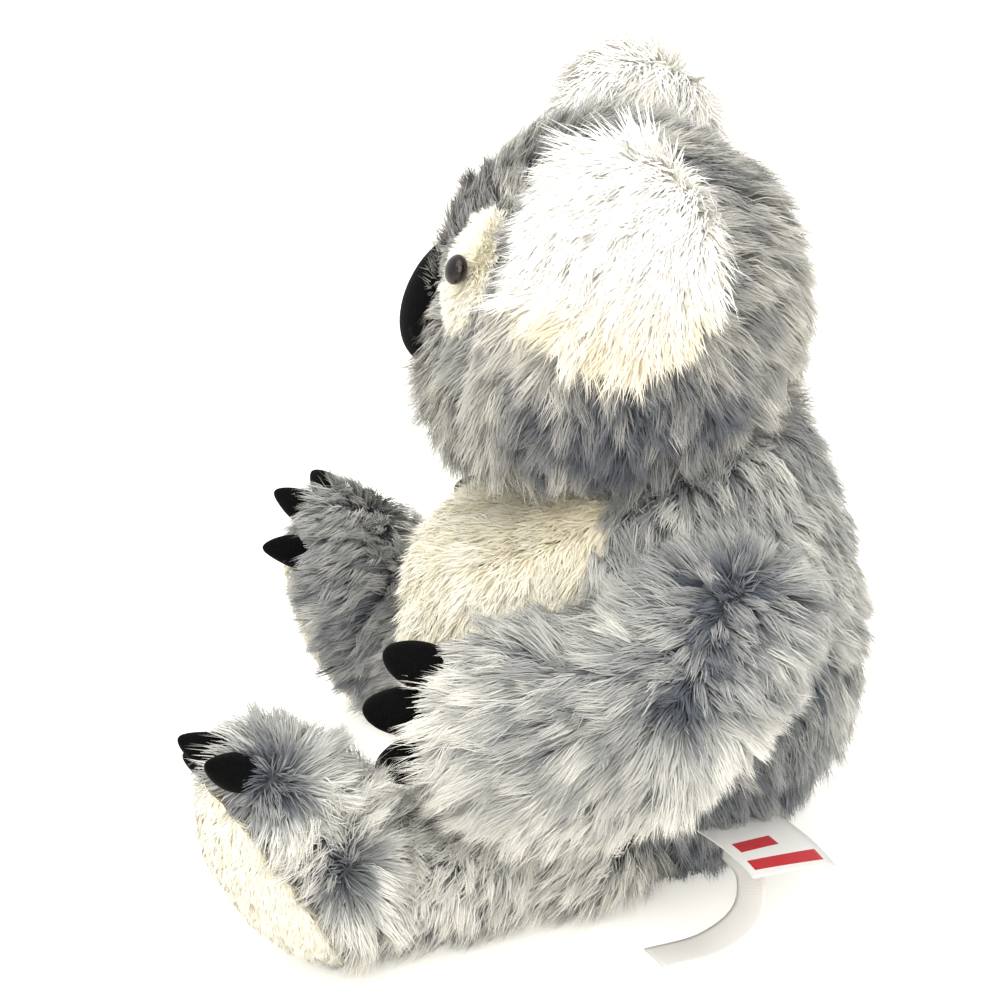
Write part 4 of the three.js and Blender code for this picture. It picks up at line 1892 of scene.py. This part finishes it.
def smooth_path(places: list[Vector], steps: int, fineness: int = 24) -> list[Vector]:
    """Spaces places evenly along a smooth curve.

    Args:
        places: The places that the curve runs through.
        steps: How many steps to make.
        fineness: How many pieces each stretch of the curve is measured in.

    Returns:
        The places between the steps, with both ends.
    """
    ends = [2 * places[0] - places[1], *places, 2 * places[-1] - places[-2]]
    fine = []
    for i in range(1, len(ends) - 2):
        a, b, c, d = ends[i - 1 : i + 3]
        square, cube = 2 * a - 5 * b + 4 * c - d, 3 * b - a - 3 * c + d
        for t in (j / fineness for j in range(fineness)):
            fine.append(0.5 * ((2 * b) + (c - a) * t + square * t * t + cube * t**3))
    fine.append(ends[-2])
    far = [0.0]
    for first, second in zip(fine, fine[1:]):
        far.append(far[-1] + (second - first).length)
    made = []
    for i in range(steps + 1):
        want = far[-1] * i / steps
        k = min(max(1, int(np.searchsorted(far, want))), len(fine) - 1)
        share = (want - far[k - 1]) / max(far[k] - far[k - 1], 1e-12)
        made.append(fine[k - 1].lerp(fine[k], share))
    return made


@dataclass
class Ribbons:
    """The folded label and the satin ribbon, sewn into the seam at the left of the seat."""

    label: Strip = Strip(
        path=((36, 30, 25.5), (46, 37, 26), (54, 43, 25), (61, 47.5, 23.5)),
        across=(-0.66, 0.75, -0.1),
        width=26.0 * MM,
        thickness=0.5 * MM,
    )
    satin: Strip = Strip(
        path=((38, 31, 20), (47, 36, 17), (54, 36, 7), (60, 27, 0.8), (69, 12, 0.7)),
        across=(0.8, 0.6, 0),
        width=11.0 * MM,
        thickness=0.3 * MM,
    )
    bars: tuple[tuple[float, ...], ...] = ((0.08, 0.92, 0.78, 0.92), (0.12, 0.6, 0.5, 0.64))

    def dress(self) -> None:
        """Adds the label, with plain bars for its print, and the ribbon."""
        label, long = self.label.build()
        shader = WHITE_SATIN.shader()
        self.print_bars(shader)
        dressed(label, "label_flap", shader.material, "torso", "ribbon", "sewn_label")
        ribbon, long = self.satin.build()
        material = WHITE_SATIN.shader().material
        dressed(ribbon, "ribbon_tail", material, "torso", "ribbon", "satin_ribbon")

    def print_bars(self, shader: Shader) -> None:
        """Prints plain red bars on the label.

        Args:
            shader: The label's satin.
        """
        axes = shader.add("ShaderNodeSeparateXYZ", {"Vector": shader.strip("Strip")})
        base = shader.bsdf.inputs["Base Color"].links[0].from_socket
        x, y = axes.outputs["X"], axes.outputs["Y"]
        printed = []
        for left, right, low, high in self.bars:
            beside = shader.worked("GREATER_THAN", x, left), shader.worked("LESS_THAN", x, right)
            between = shader.worked("GREATER_THAN", y, low), shader.worked("LESS_THAN", y, high)
            wide, tall = (shader.worked("MULTIPLY", *pair) for pair in (beside, between))
            printed.append(shader.worked("MULTIPLY", wide, tall))
        either = printed[0]
        for bar in printed[1:]:
            either = shader.worked("MAXIMUM", either, bar)
        shader.colour(shader.mix(either, base, BAR_RED))


@dataclass
class Studio:
    """The camera, the pale floor and the soft light."""

    target: Point = (0.0, -33.0, 100.0)
    azimuth: float = 94.0
    elevation: float = 22.0
    distance: float = 0.75
    lens: float = 100.0
    paper: Colour = (0.9, 0.885, 0.85)
    glow: Colour = (1.0, 0.975, 0.88)
    glow_strength: float = 0.46
    lamps: tuple[tuple[str, Point, float, float], ...] = (
        ("top lamp", (0.35, -0.35, 1.1), 0.9, 5.0),
        ("back lamp", (0.5, 0.9, 0.7), 0.8, 2.0),
        ("side lamp", (1.1, -0.1, 0.75), 0.9, 7.0),
    )

    def add_camera(self) -> None:
        """Adds the camera at the photographed angle."""
        turn, rise = math.radians(self.azimuth), math.radians(self.elevation)
        flat = math.cos(rise)
        back = Vector((math.sin(turn) * flat, -math.cos(turn) * flat, math.sin(rise)))
        camera = bpy.data.objects.new("camera", bpy.data.cameras.new("camera"))
        camera.data.lens = self.lens
        camera.data.sensor_width = 36.0
        camera.data.clip_start = 0.01
        camera.location = Vector(self.target) * MM + back * self.distance
        camera.rotation_mode = "QUATERNION"
        camera.rotation_quaternion = (-back).to_track_quat("-Z", "Y")
        bpy.context.scene.collection.objects.link(camera)
        bpy.context.scene.camera = camera

    def add_floor(self) -> None:
        """Adds the floor, which looks nearly white and keeps the shadow."""
        bpy.ops.mesh.primitive_plane_add(size=12.0)
        floor = bpy.context.object
        floor.name = "floor"
        material = bpy.data.materials.new("floor")
        material.use_nodes = True
        tree = material.node_tree
        tree.nodes.clear()
        kinds = ("BsdfDiffuse", "Emission", "AddShader", "OutputMaterial", "LightPath", "Math")
        nodes = (tree.nodes.new(f"ShaderNode{kind}") for kind in kinds)
        paper, glow, both, out, path, much = nodes
        paper.inputs["Color"].default_value = (*self.paper, 1)
        glow.inputs["Color"].default_value = (*self.glow, 1)
        much.operation = "MULTIPLY"
        much.inputs[1].default_value = self.glow_strength
        tree.links.new(path.outputs["Is Camera Ray"], much.inputs[0])
        tree.links.new(much.outputs[0], glow.inputs["Strength"])
        tree.links.new(paper.outputs[0], both.inputs[0])
        tree.links.new(glow.outputs[0], both.inputs[1])
        tree.links.new(both.outputs[0], out.inputs["Surface"])
        floor.data.materials.append(material)

    def add_light(self) -> None:
        """Adds the soft daylight all round and the large lamps."""
        world = bpy.data.worlds.new("daylight")
        world.use_nodes = True
        sky = world.node_tree.nodes["Background"]
        sky.inputs["Color"].default_value = (1.0, 1.0, 1.0, 1)
        sky.inputs["Strength"].default_value = 1.0
        bpy.context.scene.world = world
        for name, place, size, power in self.lamps:
            lamp = bpy.data.lights.new(name, "AREA")
            lamp.size, lamp.energy = size, power
            obj = bpy.data.objects.new(name, lamp)
            obj.location = place
            obj.rotation_mode = "QUATERNION"
            towards = Vector((0, 0, 0.1)) - Vector(place)
            obj.rotation_quaternion = towards.to_track_quat("-Z", "Y")
            bpy.context.scene.collection.objects.link(obj)

    def build(self) -> None:
        """Sets up the whole studio."""
        bpy.context.scene.view_settings.view_transform = "Standard"
        self.add_camera()
        self.add_floor()
        self.add_light()


def main() -> None:
    """Builds the koala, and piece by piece."""
    logging.basicConfig(level=logging.INFO, format="%(message)s")
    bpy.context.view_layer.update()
    for obj in list(bpy.context.selected_objects):
        obj.select_set(False)
    Studio().build()
    torso, head = Torso(), Head()
    arms = [Arm(side) for side in Side]
    legs = [Leg(side) for side in Side]
    skins = [torso.skin, head.skin, *head.ears, *(arm.skin for arm in arms)]
    skins += [skin for leg in legs for skin in (leg.skin, leg.sole)]
    stuff(skins)
    surfaces = {skin.name: Surface(skin.obj) for skin in skins}
    for part in (torso, head, *arms, *legs):
        part.dress(surfaces)
    Ribbons().dress()
    bpy.context.view_layer.update()


if __name__ == "__main__":
    main()
